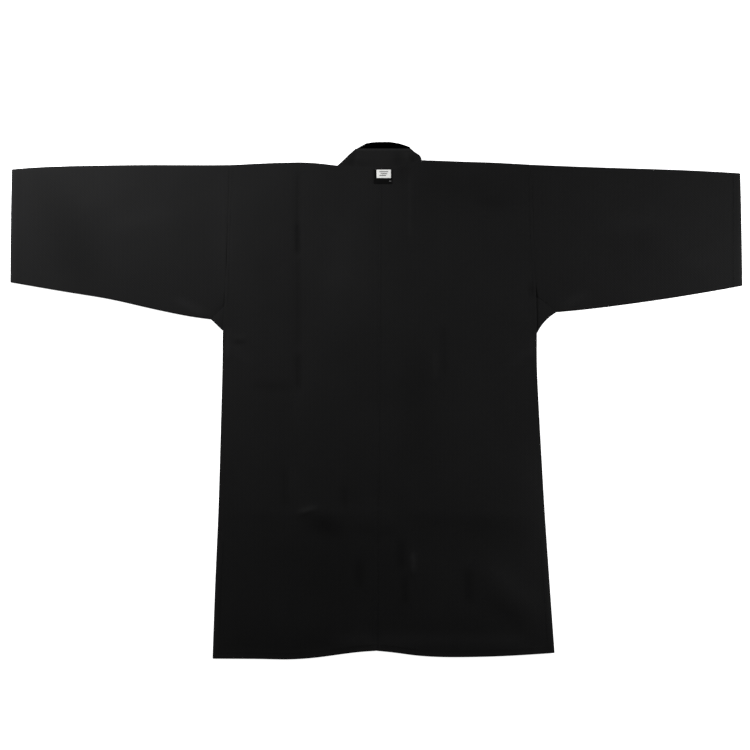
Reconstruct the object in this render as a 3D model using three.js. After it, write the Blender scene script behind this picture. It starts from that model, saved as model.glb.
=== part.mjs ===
// A kendo jacket laid flat on its front, so that its back faces up. Millimetres, +Z up.
// X runs from the wearer's left cuff to the right one, Y from the hem to the collar.
// Each piece is a wall of cloth with its outline worked out from the tables below. The pieces are laid one
// by one, as on a cutting table: first the ties and fronts, then the collar, and the back last.

import * as THREE from 'three';

const { clamp, lerp, smoothstep } = THREE.MathUtils;

// Walls of the cloth
const CLOTH = 1.8;
const COLLAR_CLOTH = 3.0;
const TIE_CLOTH = 1.5;
const LABEL_CLOTH = 0.8;
const SEAM = 0.3;

// The hem's line, from the left side slit to the right one
const HEM = [
  { x: -286, y: -451 },
  { x: -200, y: -451.5 },
  { x: -157, y: -452 },
  { x: -115, y: -450 },
  { x: -73, y: -444.5 },
  { x: -31, y: -439 },
  { x: 0, y: -437 },
  { x: 32, y: -440 },
  { x: 73, y: -445.5 },
  { x: 115, y: -448 },
  { x: 180, y: -447.5 },
  { x: 242, y: -445.5 },
  { x: 312, y: -441 },
];
const FRONT_HEM_RISE = 2;

// How far each side seam lies from the middle, from the hem up to the armpit
const SIDES = [
  { y: -451, left: -286, right: 312 },
  { y: -325, left: -281.5, right: 303 },
  { y: -185, left: -275.5, right: 293.5 },
  { y: -10, left: -270.5, right: 283.5 },
  { y: 70, left: -268.5, right: 280 },
  { y: 122, left: -268.5, right: 280.5 },
];

// The fold along the top of each sleeve and shoulder, from the cuff to the neck
const TOP_LEFT = [
  { x: -637, y: 404 },
  { x: -604, y: 407 },
  { x: -541, y: 409.5 },
  { x: -415, y: 411.5 },
  { x: -257, y: 411.5 },
  { x: -194, y: 414.5 },
  { x: -131, y: 416 },
  { x: -100, y: 414.5 },
  { x: -68, y: 410 },
];
const TOP_RIGHT = [
  { x: 79, y: 420 },
  { x: 147, y: 417.5 },
  { x: 210, y: 415.5 },
  { x: 273, y: 412 },
  { x: 399, y: 407 },
  { x: 525, y: 403 },
  { x: 588, y: 400 },
  { x: 636, y: 397 },
];

// The lower seam of each sleeve, from the cuff to the gusset's tip
const UNDER_LEFT = [
  { x: -639.5, y: 207 },
  { x: -539, y: 189.5 },
  { x: -465, y: 177.5 },
  { x: -392, y: 160.5 },
  { x: -318, y: 145.5 },
  { x: -289, y: 142 },
];
const UNDER_RIGHT = [
  { x: 315, y: 154.5 },
  { x: 348, y: 157.5 },
  { x: 401, y: 163.5 },
  { x: 506, y: 178 },
  { x: 611, y: 195.5 },
  { x: 639.5, y: 201 },
];

// The points where seams meet on each side. The jacket lies a little askew, so the sides differ.
const LEFT = {
  armpit: [-268.5, 122],
  gussetTip: [-289, 142],
  gussetTop: [-265, 165],
  shoulder: [-257, 411.5],
  neck: [-68, 410],
  bandTop: [-32, 438],
  cuffFoot: [-639.5, 207],
  cuffTop: [-637, 404],
};
const RIGHT = {
  armpit: [280.5, 117],
  gussetTip: [315, 154.5],
  gussetTop: [279, 181],
  shoulder: [270, 412],
  neck: [79, 420],
  bandTop: [50, 439],
  cuffFoot: [639.5, 201],
  cuffTop: [636, 397],
};
const GUSSET_BOW = { left: 0, right: 4 };

// The back's middle seam and the line where the collar is sewn on
const MIDDLE_HEM = 0;
const MIDDLE_NECK = 6;
const NECKLINE = [
  { x: -68, y: 410 },
  { x: -30, y: 407 },
  { x: 6, y: 406.5 },
  { x: 45, y: 410 },
  { x: 79, y: 420 },
];

// How far each front's edge reaches past the middle, where the collar band is sewn on
const LAPEL_MIDDLE = 5;
const LAPEL = [
  { y: -446, reach: 107 },
  { y: -350, reach: 101 },
  { y: -250, reach: 93 },
  { y: -150, reach: 83 },
  { y: -42, reach: 67 },
  { y: 60, reach: 47 },
  { y: 130, reach: 24 },
  { y: 230, reach: -10 },
  { y: 330, reach: -46 },
  { y: 410, reach: -73 },
  { y: 420, reach: -74 },
];
const BAND_WIDTH = 50;
const BAND_BEND = 350;

// The collar behind the neck, and its inner leaf, which shows as a crescent above the outer one
const NAPE_TOP = 439.5;
const NAPE_LEFT = -31;
const NAPE_RIGHT = 60;
const NAPE_RIGHT_EDGE = [
  { y: 420, x: 79 },
  { y: 428, x: 76 },
  { y: 432, x: 69 },
  { y: 439.5, x: 60 },
];
const LEAF_FOOT = 425;
const LEAF_TOP = [
  { x: -36, y: 437 },
  { x: -15, y: 449 },
  { x: 10, y: 452 },
  { x: 35, y: 450 },
  { x: 58, y: 439 },
];

// The ties that close the jacket at the chest, each from where it is sewn on to its free end
const TIE_WIDTH = 20;
const TIES = {
  tie_left: [[66, 150], [86, 90], [112, 10], [128, -70], [134, -145]],
  tie_right: [[214, 112], [206, 40], [192, -30], [186, -110], [190, -186]],
};
const TIE_STEPS = 14;

// The label at the nape, a black patch with a pale field sewn to its upper part
const LABEL = { x0: -4.5, x1: 27.5, y0: 378, y1: 405.5 };
const FIELD = { x0: 0, x1: 26, y0: 388, y1: 405.5 };

// The cloth's own bulge between its edges, and its largest folds, as raised or sunken lines
const BULGE = 2.2;
const BULGE_REACH = 70;
const FOLDS = [
  { x0: -136, y0: 404, x1: -136, y1: 14, width: 12, height: -1.8 },
  { x0: 60, y0: 404, x1: 60, y1: 262, width: 12, height: -1.0 },
  { x0: 112, y0: 118, x1: 128, y1: -70, width: 16, height: 1.4 },
  { x0: -268, y0: -196, x1: 60, y1: -198, width: 16, height: 1.0 },
  { x0: -140, y0: -198, x1: -54, y1: -200, width: 14, height: 1.2 },
  { x0: 60, y0: -198, x1: 285, y1: -204, width: 16, height: 0.8 },
  { x0: 50, y0: -262, x1: 56, y1: -350, width: 14, height: 1.6 },
  { x0: 178, y0: -280, x1: 296, y1: -406, width: 20, height: 1.6 },
  { x0: -289, y0: 142, x1: -330, y1: 158, width: 12, height: 1.2 },
  { x0: 315, y0: 156, x1: 322, y1: 186, width: 12, height: 1.2 },
  { x0: -270, y0: 250, x1: -272, y1: 172, width: 10, height: 0.9 },
  { x0: 284, y0: 250, x1: 285, y1: 176, width: 10, height: 0.9 },
  { x0: 171, y0: 346, x1: 245, y1: 346, width: 12, height: -0.8 },
  { x0: -254, y0: 105, x1: -224, y1: 105, width: 10, height: -0.8 },
];

// A smooth line through a table's rows, which go up in the column that it is read along
function through(rows, along, value) {
  const at = rows.map((row) => row[along]);
  const is = rows.map((row) => row[value]);
  const slope = is.map((_, i) => {
    const before = Math.max(i - 1, 0);
    const after = Math.min(i + 1, is.length - 1);
    return (is[after] - is[before]) / (at[after] - at[before]);
  });
  return (where) => {
    let i = 0;
    while (i < at.length - 2 && where > at[i + 1]) i += 1;
    const span = at[i + 1] - at[i];
    const s = clamp((where - at[i]) / span, 0, 1);
    const blend = s * s * (3 - 2 * s);
    const bend = span * s * (1 - s) * ((1 - s) * slope[i] - s * slope[i + 1]);
    return lerp(is[i], is[i + 1], blend) + bend;
  };
}

const hemAt = through(HEM, 'x', 'y');
const topLeftAt = through(TOP_LEFT, 'x', 'y');
const topRightAt = through(TOP_RIGHT, 'x', 'y');
const underLeftAt = through(UNDER_LEFT, 'x', 'y');
const underRightAt = through(UNDER_RIGHT, 'x', 'y');
const necklineAt = through(NECKLINE, 'x', 'y');
const reachAt = through(LAPEL, 'y', 'reach');
const sideAt = { left: through(SIDES, 'y', 'left'), right: through(SIDES, 'y', 'right') };

function topAt(x) {
  if (x <= LEFT.neck[0]) return topLeftAt(x);
  if (x >= RIGHT.neck[0]) return topRightAt(x);
  return necklineAt(x);
}

const POINTS = { left: LEFT, right: RIGHT };
const INWARD = { left: 1, right: -1 };

// Where a line between two points has the height y
function xOnLine(a, b, y) {
  return lerp(a[0], b[0], (y - a[1]) / (b[1] - a[1]));
}

// A panel's outer edge: the side seam, then the gusset's seam, then the sleeve's seam
function outerAt(side, y) {
  const { armpit, gussetTop, shoulder } = POINTS[side];
  if (y <= armpit[1]) return sideAt[side](y);
  if (y <= gussetTop[1]) return xOnLine(armpit, gussetTop, y);
  return xOnLine(gussetTop, shoulder, y);
}

// An edge as a function of 0 to 1
const straight = (a, b) => (t) => [lerp(a[0], b[0], t), lerp(a[1], b[1], t)];
const alongX = (x0, x1, yOf) => (t) => [lerp(x0, x1, t), yOf(lerp(x0, x1, t))];
const alongY = (y0, y1, xOf) => (t) => [xOf(lerp(y0, y1, t)), lerp(y0, y1, t)];

// The points inside four edges follow those edges: u goes from near to far, v from foot to top
function patch({ foot, top, near, far }) {
  const corners = [foot(0), foot(1), top(0), top(1)];
  return (u, v) => [0, 1].map((k) => {
    const across = lerp(near(v)[k], far(v)[k], u);
    const up = lerp(foot(u)[k], top(u)[k], v);
    const plain = lerp(lerp(corners[0][k], corners[1][k], u), lerp(corners[2][k], corners[3][k], u), v);
    return across + up - plain;
  });
}

// Even steps between stops, with a count of steps for each stretch
function steps(stops, counts) {
  const values = [stops[0]];
  counts.forEach((count, i) => {
    for (let k = 1; k <= count; k += 1) values.push(lerp(stops[i], stops[i + 1], k / count));
  });
  return values;
}

// The distance from a place on the jacket to its outline
function insetAt(x, y) {
  const { armpit: leftPit } = LEFT;
  const { armpit: rightPit } = RIGHT;
  const fromTop = topAt(x) - y;
  if (x < outerAt('left', Math.max(y, leftPit[1]))) return Math.min(fromTop, y - underLeftAt(x));
  if (x > outerAt('right', Math.max(y, rightPit[1]))) return Math.min(fromTop, y - underRightAt(x));
  const pits = [leftPit, rightPit].map((pit) => {
    return y > pit[1] ? Math.hypot(x - pit[0], y - pit[1]) : Math.abs(x - pit[0]);
  });
  return Math.min(fromTop, y - hemAt(x), ...pits);
}

// How far a place lies from a fold's line, with the line fading out at its ends
function foldAt(fold, x, y) {
  const { x0, y0, x1, y1, width, height } = fold;
  const length = Math.hypot(x1 - x0, y1 - y0);
  const along = ((x - x0) * (x1 - x0) + (y - y0) * (y1 - y0)) / length;
  const aside = ((x - x0) * (y1 - y0) - (y - y0) * (x1 - x0)) / length;
  const ends = smoothstep(along, -width, width) * smoothstep(length - along, -width, width);
  return height * ends * Math.exp(-((aside / width) ** 2));
}

// The lift of the upper layer above what lies under it
function liftAt(x, y) {
  const bulge = smoothstep(insetAt(x, y), 0, BULGE_REACH);
  const folds = FOLDS.reduce((sum, fold) => sum + foldAt(fold, x, y), 0);
  return Math.max(BULGE * bulge + folds * smoothstep(bulge, 0, 0.3), 0);
}

// A closed wall between an outer and an inner net of points, row by row. A ring joins its last column to its
// first, and a sheet has rims there.
function wall(outer, inner, ring = false) {
  const rows = outer.length;
  const columns = outer[0].length;
  const place = (net, j, i) => (net * rows + j) * columns + (i % columns);
  const triangles = [];
  const quad = (a, b, c, d) => triangles.push(a, b, c, a, c, d);
  const spans = ring ? columns : columns - 1;
  for (let i = 0; i < spans; i += 1) {
    for (let j = 0; j < rows - 1; j += 1) {
      quad(place(0, j, i), place(0, j, i + 1), place(0, j + 1, i + 1), place(0, j + 1, i));
      triangles.push(place(1, j, i), place(1, j + 1, i + 1), place(1, j, i + 1));
      triangles.push(place(1, j, i), place(1, j + 1, i), place(1, j + 1, i + 1));
    }
    const last = rows - 1;
    quad(place(0, 0, i), place(1, 0, i), place(1, 0, i + 1), place(0, 0, i + 1));
    quad(place(0, last, i), place(0, last, i + 1), place(1, last, i + 1), place(1, last, i));
  }
  if (!ring) {
    const end = columns - 1;
    for (let j = 0; j < rows - 1; j += 1) {
      quad(place(0, j, 0), place(0, j + 1, 0), place(1, j + 1, 0), place(1, j, 0));
      quad(place(0, j, end), place(1, j, end), place(1, j + 1, end), place(0, j + 1, end));
    }
  }
  return facingOut([...outer.flat(), ...inner.flat()], triangles);
}

// Turns all triangles round where they face inwards
function facingOut(points, triangles) {
  const [a, b, c] = [new THREE.Vector3(), new THREE.Vector3(), new THREE.Vector3()];
  let volume = 0;
  for (let k = 0; k < triangles.length; k += 3) {
    a.fromArray(points[triangles[k]]);
    b.fromArray(points[triangles[k + 1]]);
    c.fromArray(points[triangles[k + 2]]);
    volume += a.dot(b.cross(c));
  }
  const geometry = new THREE.BufferGeometry();
  geometry.setAttribute('position', new THREE.Float32BufferAttribute(points.flat(), 3));
  geometry.setIndex(volume > 0 ? triangles : triangles.reverse());
  geometry.computeVertexNormals();
  return geometry;
}

// The table, with the height of the highest cloth on each small square of it
const SQUARE = 4;
const SPREAD = 1.5;
const TABLE = { x: 660, y: 480 };

class Table {
  constructor(layers) {
    this.across = Math.ceil((2 * TABLE.x) / SQUARE);
    this.heights = new Float32Array(this.across * Math.ceil((2 * TABLE.y) / SQUARE));
    layers.forEach((layer) => this.cover(layer));
  }

  square(x, y) {
    const column = Math.floor((x + TABLE.x) / SQUARE);
    return Math.floor((y + TABLE.y) / SQUARE) * this.across + column;
  }

  // Marks a layer's height on the squares that it covers and on those beside them
  cover(layer) {
    eachPlace(layer.outer, SPREAD, (x, y, z) => {
      const here = this.square(x, y);
      for (const row of [-this.across, 0, this.across]) {
        for (const column of [-1, 0, 1]) {
          const beside = here + row + column;
          this.heights[beside] = Math.max(this.heights[beside], z);
        }
      }
    });
  }

  heightAt(x, y) {
    return this.heights[this.square(x, y)];
  }
}

// Calls back with places spread over each triangle of a net, with their shares of its three corners
function eachPlace(net, spacing, call) {
  for (let j = 0; j < net.length - 1; j += 1) {
    for (let i = 0; i < net[j].length - 1; i += 1) {
      const [a, b, c, d] = [net[j][i], net[j][i + 1], net[j + 1][i + 1], net[j + 1][i]];
      for (const corners of [[a, b, c], [a, c, d]]) spreadOver(corners, spacing, call);
    }
  }
}

function spreadOver(corners, spacing, call) {
  const [a, b, c] = corners;
  const edge = (p, q) => Math.hypot(p[0] - q[0], p[1] - q[1]);
  const count = Math.ceil(Math.max(edge(a, b), edge(b, c), edge(c, a)) / spacing);
  for (let m = 0; m <= count; m += 1) {
    for (let n = 0; n <= count - m; n += 1) {
      const shares = [(count - m - n) / count, m / count, n / count];
      const at = (k) => shares[0] * a[k] + shares[1] * b[k] + shares[2] * c[k];
      call(at(0), at(1), at(2), corners, shares);
    }
  }
}

// Lays a flat net of points on what is under it: each point rises until its cloth is clear of the lower layers
function settle(net, layers) {
  const laid = net.map((row) => row.map(([x, y]) => [x, y, 0]));
  const table = new Table(layers);
  eachPlace(laid, SQUARE, (x, y, z, corners, shares) => {
    const top = table.heightAt(x, y);
    if (top === 0) return;
    corners.forEach((corner, k) => {
      if (shares[k] > 0) corner[2] = Math.max(corner[2], top + SEAM);
    });
  });
  return laid;
}

const net = (place, columns, rows) => rows.map((v) => columns.map((u) => place(u, v)));
const raised = (points, height) => points.map((row) => row.map(([x, y, z]) => [x, y, z + height]));

// A piece of even thickness on a laid net of points
function thick(laid, thickness, lift = () => 0) {
  const inner = laid.map((row) => row.map(([x, y, z]) => [x, y, z + lift(x, y)]));
  const outer = raised(inner, thickness);
  return { inner, outer, geometry: wall(outer, inner) };
}

const sheet = (flat, thickness, under = []) => thick(settle(flat, under), thickness);

// Rows and columns of the body, with one on each pressed crease and seam corner. Both sides have the same rows,
// as shares of the way from the hem to the shoulder.
const CREASE_ROW = -198;
const CREASE_COLUMN = { left: -136, right: 60 };
const CREASE_STEP = 12;
const hemCorner = (side) => [sideAt[side](SIDES[0].y), hemAt(sideAt[side](SIDES[0].y))];

function rowStops(side) {
  const { armpit, gussetTop, shoulder } = POINTS[side];
  const creases = [CREASE_ROW - CREASE_STEP, CREASE_ROW, CREASE_ROW + CREASE_STEP];
  return [hemCorner(side)[1], ...creases, armpit[1], gussetTop[1], shoulder[1]];
}

const [rowFoot, rowTop] = [rowStops('left')[0], rowStops('left').at(-1)];
const ROW_SHARES = rowStops('left').map((y) => (y - rowFoot) / (rowTop - rowFoot));

// A panel's outer edge, with its seam corners on the same rows on both sides
function outerEdge(side, rise = 0) {
  const stops = rowStops(side);
  return (v) => {
    let i = 0;
    while (i < stops.length - 2 && v > ROW_SHARES[i + 1]) i += 1;
    const share = (v - ROW_SHARES[i]) / (ROW_SHARES[i + 1] - ROW_SHARES[i]);
    const y = lerp(stops[i], stops[i + 1], share) + rise * (1 - v);
    return [outerAt(side, y), y];
  };
}

// Each half of the back reaches from its outer edge to the middle seam
function backNet(side) {
  const { shoulder, neck } = POINTS[side];
  const middle = INWARD[side] * SEAM / 2;
  const place = patch({
    foot: alongX(hemCorner(side)[0], MIDDLE_HEM - middle, hemAt),
    top: alongX(shoulder[0], MIDDLE_NECK - middle, topAt),
    near: outerEdge(side),
    far: straight([MIDDLE_HEM - middle, hemAt(0)], [MIDDLE_NECK - middle, necklineAt(MIDDLE_NECK)]),
  });
  const share = (x) => (x - shoulder[0]) / (MIDDLE_NECK - middle - shoulder[0]);
  const crease = CREASE_COLUMN[side];
  const inner = crease + INWARD[side] * CREASE_STEP;
  const outer = crease - INWARD[side] * CREASE_STEP;
  const stops = side === 'left'
    ? [shoulder[0], outer, crease, inner, neck[0], MIDDLE_NECK - middle]
    : [shoulder[0], neck[0], crease, inner, MIDDLE_NECK - middle];
  const counts = side === 'left' ? [4, 1, 1, 2, 3] : [7, 1, 1, 2];
  return net(place, steps(stops.map(share), counts), steps(ROW_SHARES, [7, 1, 1, 9, 1, 8]));
}

// The two halves meet at one height along the middle seam
function backHalves(under) {
  const halves = ['left', 'right'].map((side) => settle(backNet(side), under));
  halves[0].forEach((_, j) => {
    const ends = halves.map((half) => half[j].at(-1));
    const height = Math.max(ends[0][2], ends[1][2]);
    ends.forEach((end) => { end[2] = height; });
  });
  return halves.map((half) => thick(half, CLOTH, liftAt));
}

// Each front reaches past the middle to its lapel edge, where the collar band is sewn on
const FRONT_COUNTS = [5, 1, 1, 7, 1, 6];

function lapelFoot(side) {
  const x = LAPEL_MIDDLE + INWARD[side] * LAPEL[0].reach;
  return [x, hemAt(x) + FRONT_HEM_RISE];
}

function lapelEdge(side, aside) {
  return alongY(lapelFoot(side)[1], POINTS[side].neck[1], (y) => {
    return LAPEL_MIDDLE + INWARD[side] * (reachAt(y) + aside);
  });
}

function frontPanel(side, under) {
  const { shoulder, neck } = POINTS[side];
  const place = patch({
    foot: alongX(hemCorner(side)[0], lapelFoot(side)[0], (x) => hemAt(x) + FRONT_HEM_RISE),
    top: alongX(shoulder[0], neck[0], topAt),
    near: outerEdge(side, FRONT_HEM_RISE),
    far: lapelEdge(side, 0),
  });
  return sheet(net(place, steps([0, 1], [9]), steps(ROW_SHARES, FRONT_COUNTS)), CLOTH, under);
}

// The collar band runs down each front beside its lapel edge. Its top end lies under the nape, where it folds.
function collarRun(side, under) {
  const { neck, bandTop } = POINTS[side];
  const inward = INWARD[side];
  const rows = LAPEL.filter((row) => row.y < BAND_BEND).map((row) => {
    const slope = (reachAt(row.y + 1) - reachAt(row.y - 1)) / 2;
    const width = BAND_WIDTH * Math.hypot(1, slope);
    return { y: row.y, x: LAPEL_MIDDLE + inward * (row.reach + width) };
  });
  rows.push({ y: bandTop[1], x: bandTop[0] });
  const freeAt = through(rows, 'y', 'x');
  const seam = lapelEdge(side, SEAM);
  const freeFoot = hemAt(rows[0].x) + FRONT_HEM_RISE;
  const place = patch({
    foot: straight(seam(0), [rows[0].x, freeFoot]),
    top: straight(seam(1), bandTop),
    near: seam,
    far: alongY(freeFoot, bandTop[1], freeAt),
  });
  return sheet(net(place, steps([0, 1], [3]), steps(ROW_SHARES, FRONT_COUNTS)), COLLAR_CLOTH, under);
}

// The inner leaf of the collar behind the neck
function napeLeaf(under) {
  const first = LEAF_TOP[0];
  const last = LEAF_TOP[LEAF_TOP.length - 1];
  const topOf = through(LEAF_TOP, 'x', 'y');
  const place = patch({
    foot: straight([first.x - 9, LEAF_FOOT], [last.x + 11, LEAF_FOOT]),
    top: alongX(first.x, last.x, topOf),
    near: straight([first.x - 9, LEAF_FOOT], [first.x, first.y]),
    far: straight([last.x + 11, LEAF_FOOT], [last.x, last.y]),
  });
  return sheet(net(place, steps([0, 1], [10]), steps([0, 1], [3])), CLOTH, under);
}

// The outer leaf, sewn along the back's neckline. It is stiff, so it lies level on what is under it.
function nape(under) {
  const place = patch({
    foot: alongX(LEFT.neck[0], RIGHT.neck[0], (x) => necklineAt(x) + SEAM),
    top: straight([NAPE_LEFT, NAPE_TOP], [NAPE_RIGHT, NAPE_TOP]),
    near: straight([LEFT.neck[0], LEFT.neck[1] + SEAM], [NAPE_LEFT, NAPE_TOP]),
    far: alongY(RIGHT.neck[1] + SEAM, NAPE_TOP, through(NAPE_RIGHT_EDGE, 'y', 'x')),
  });
  const middle = (MIDDLE_NECK - LEFT.neck[0]) / (RIGHT.neck[0] - LEFT.neck[0]);
  const laid = settle(net(place, steps([0, middle, 1], [6, 6]), steps([0, 1], [5])), under);
  const height = Math.max(...laid.flat().map((point) => point[2]));
  laid.flat().forEach((point) => { point[2] = height; });
  return thick(laid, COLLAR_CLOTH);
}

// A piece that is folded on the table, seen in section: two leaves joined by a round fold at one edge or both.
// place gives a point from its station and its share of the way from the fold to the far edge.
const FOLD_ANGLES = [-90, -45, 0, 45, 90];

function folded(place, stations, shares, ring) {
  const radius = CLOTH + SEAM / 2;
  const section = (station, wallInset) => {
    const [near, far] = [place(station, 0), place(station, 1)];
    const width = Math.hypot(far[0] - near[0], far[1] - near[1]);
    const across = ring ? width - 2 * radius : width - radius;
    const at = (distance, height, top) => {
      const [x, y] = place(station, distance / width);
      return [x, y, height + (top ? liftAt(x, y) : 0)];
    };
    const leaf = (height, top) => shares.map((share) => at(radius + across * share, height, top));
    const turn = (centre, outward) => FOLD_ANGLES.slice(1, -1).map((angle) => {
      const radians = THREE.MathUtils.degToRad(angle);
      const reach = radius - wallInset;
      return at(centre + outward * reach * Math.cos(radians), radius + reach * Math.sin(radians), false);
    });
    const lower = leaf(wallInset, false);
    const upper = leaf(2 * radius - wallInset, true);
    const nearTurn = turn(radius, -1);
    const loop = [...lower.reverse(), ...nearTurn, ...upper];
    return ring ? [...loop, ...turn(width - radius, 1).reverse()] : loop;
  };
  const outer = stations.map((station) => section(station, 0));
  const inner = stations.map((station) => section(station, CLOTH));
  return { geometry: wall(outer, inner, ring) };
}

// Each sleeve is a tube that lies flat, open at the cuff and the armhole
function sleeve(side) {
  const { cuffFoot, cuffTop, gussetTip, gussetTop, shoulder } = POINTS[side];
  const apart = -INWARD[side] * SEAM;
  const underAt = side === 'left' ? underLeftAt : underRightAt;
  const below = (x) => {
    const past = INWARD[side] * (x - gussetTip[0]);
    if (past <= 0) return underAt(x);
    const share = clamp(past / Math.abs(gussetTop[0] - gussetTip[0]), 0, 1);
    return lerp(gussetTip[1], gussetTop[1], share) + SEAM * share;
  };
  const seamFoot = [gussetTop[0] + apart, gussetTop[1] + SEAM];
  const seamTop = [shoulder[0] + apart, shoulder[1]];
  const along = patch({
    foot: alongX(cuffFoot[0], seamFoot[0], below),
    top: alongX(cuffTop[0], seamTop[0], topAt),
    near: straight(cuffFoot, cuffTop),
    far: straight(seamFoot, seamTop),
  });
  const tip = (gussetTip[0] - cuffFoot[0]) / (seamFoot[0] - cuffFoot[0]);
  const stations = steps([0, tip, 1], [11, 1]);
  return folded((station, share) => along(station, share), stations, steps([0, 1], [7]), true);
}

// Each gusset is a square of cloth folded corner to corner, from the side seam to the sleeve's lower seam
const GUSSET_END = 0.1;

function gusset(side) {
  const { armpit, gussetTip, gussetTop } = POINTS[side];
  const bow = INWARD[side] * GUSSET_BOW[side];
  const [dx, dy] = [gussetTip[0] - armpit[0], gussetTip[1] - armpit[1]];
  const length = Math.hypot(dx, dy);
  const fold = (t) => {
    const bulge = 4 * t * (1 - t) * bow;
    return [lerp(armpit[0], gussetTip[0], t) + (bulge * dy) / length,
      lerp(armpit[1], gussetTip[1], t) - (bulge * dx) / length];
  };
  const peak = [gussetTop[0] - INWARD[side] * 3 * SEAM, gussetTop[1] - 3 * SEAM];
  const inner = (t) => (t < 0.5
    ? straight(armpit, peak)(2 * t)
    : straight(peak, gussetTip)(2 * t - 1));
  const clear = (t) => {
    const [x, y] = inner(t);
    const out = t < 0.5 ? [-INWARD[side] * SEAM, 0] : [0, -SEAM];
    return [x + out[0] * 1.4, y + out[1] * 1.4];
  };
  const place = (t, share) => {
    const [a, b] = [fold(t), clear(t)];
    return [lerp(a[0], b[0], share), lerp(a[1], b[1], share)];
  };
  const stations = steps([GUSSET_END * 1.4, 0.5, 1 - GUSSET_END * 1.4], [3, 3]);
  return folded(place, stations, [0, 0.5, 1], false);
}

// A strip of even width along a smooth line
function strip(route, width, count) {
  const line = new THREE.SplineCurve(route.map(([x, y]) => new THREE.Vector2(x, y)));
  return steps([0, 1], [count]).map((t) => {
    const point = line.getPointAt(t);
    const aside = line.getTangentAt(t).rotateAround(new THREE.Vector2(), Math.PI / 2);
    return [-0.5, 0, 0.5].map((share) => {
      return [point.x + aside.x * width * share, point.y + aside.y * width * share];
    });
  });
}

function rectangle({ x0, x1, y0, y1 }, columns, rows) {
  const place = (u, v) => [lerp(x0, x1, u), lerp(y0, y1, v)];
  return net(place, steps([0, 1], [columns]), steps([0, 1], [rows]));
}

// The pieces in the order in which they are laid
const pieces = {};
for (const [name, route] of Object.entries(TIES)) {
  pieces[name] = sheet(strip(route, TIE_WIDTH, TIE_STEPS), TIE_CLOTH);
}
const ties = [pieces.tie_left, pieces.tie_right];
pieces.front_left = frontPanel('left', ties);
pieces.collar_left = collarRun('left', ties);
const leftFront = [...ties, pieces.front_left, pieces.collar_left];
pieces.front_right = frontPanel('right', leftFront);
pieces.collar_right = collarRun('right', leftFront);
const fronts = [...leftFront, pieces.front_right, pieces.collar_right];
pieces.collar_nape_inner = napeLeaf(fronts);
pieces.collar_nape = nape([...fronts, pieces.collar_nape_inner]);
[pieces.back_left, pieces.back_right] = backHalves(fronts);
pieces.sleeve_left = sleeve('left');
pieces.sleeve_right = sleeve('right');
pieces.gusset_left = gusset('left');
pieces.gusset_right = gusset('right');
pieces.label = sheet(rectangle(LABEL, 3, 3), LABEL_CLOTH, [pieces.back_left, pieces.back_right]);
pieces.label_field = sheet(rectangle(FIELD, 2, 2), LABEL_CLOTH, [pieces.label]);

// Finishes
const COTTON = { color: '#1c1c1d', roughness: 0.92, metalness: 0 };
const INNER_COTTON = { color: '#0c0c0c', roughness: 0.9, metalness: 0 };
const LABEL_BLACK = { color: '#101010', roughness: 0.7, metalness: 0 };
const LABEL_WHITE = { color: '#e4e4e0', roughness: 0.6, metalness: 0 };
const FINISH = { collar_nape_inner: INNER_COTTON, label: LABEL_BLACK, label_field: LABEL_WHITE };

const jacket = new THREE.Group();
for (const [name, piece] of Object.entries(pieces)) {
  const mesh = new THREE.Mesh(piece.geometry, new THREE.MeshStandardMaterial(FINISH[name] ?? COTTON));
  mesh.name = name;
  jacket.add(mesh);
}

export default jacket;
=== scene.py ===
# A kendo jacket laid flat with its back up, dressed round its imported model. Metres, +Z up.
# The model gives each outline and layer. A finer shell of cloth is made on every piece of it, then the
# sewing that holds the pieces, and last the floor, the lights and the camera.

import itertools
import math
from typing import NamedTuple

import bmesh
import bpy
import numpy as np
from bpy.props import FloatProperty, FloatVectorProperty, IntProperty, PointerProperty
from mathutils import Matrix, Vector
from mathutils.bvhtree import BVHTree


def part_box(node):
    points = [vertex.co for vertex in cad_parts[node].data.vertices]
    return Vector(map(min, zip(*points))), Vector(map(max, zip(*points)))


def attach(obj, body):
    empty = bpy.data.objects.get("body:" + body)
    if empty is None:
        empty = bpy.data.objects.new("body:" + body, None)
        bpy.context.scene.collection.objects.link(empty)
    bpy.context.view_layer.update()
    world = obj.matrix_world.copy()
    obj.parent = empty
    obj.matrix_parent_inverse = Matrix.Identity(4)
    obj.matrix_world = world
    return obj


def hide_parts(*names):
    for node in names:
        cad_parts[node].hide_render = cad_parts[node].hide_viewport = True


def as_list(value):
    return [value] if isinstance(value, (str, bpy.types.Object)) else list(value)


bl_info = {
    "name": "Kendo jacket",
    "version": (1, 0, 0),
    "blender": (4, 5, 0),
    "location": "View3D > Sidebar > Jacket",
    "description": "Makes the cloth and sewing of a kendo jacket that is laid flat",
    "category": "Add Mesh",
}

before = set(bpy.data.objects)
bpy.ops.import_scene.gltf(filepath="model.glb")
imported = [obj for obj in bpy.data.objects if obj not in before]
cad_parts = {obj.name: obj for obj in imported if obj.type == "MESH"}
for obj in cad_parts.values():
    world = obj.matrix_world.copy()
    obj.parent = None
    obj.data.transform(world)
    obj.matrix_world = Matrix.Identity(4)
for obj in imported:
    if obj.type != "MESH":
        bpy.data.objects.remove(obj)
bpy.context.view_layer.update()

MM = 0.001
BODY = "root"


class Crease(NamedTuple):
    """A soft ridge along a line, in millimetres, or a trough where its height is negative"""

    x0: float
    y0: float
    x1: float
    y1: float
    width: float
    height: float


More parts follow.
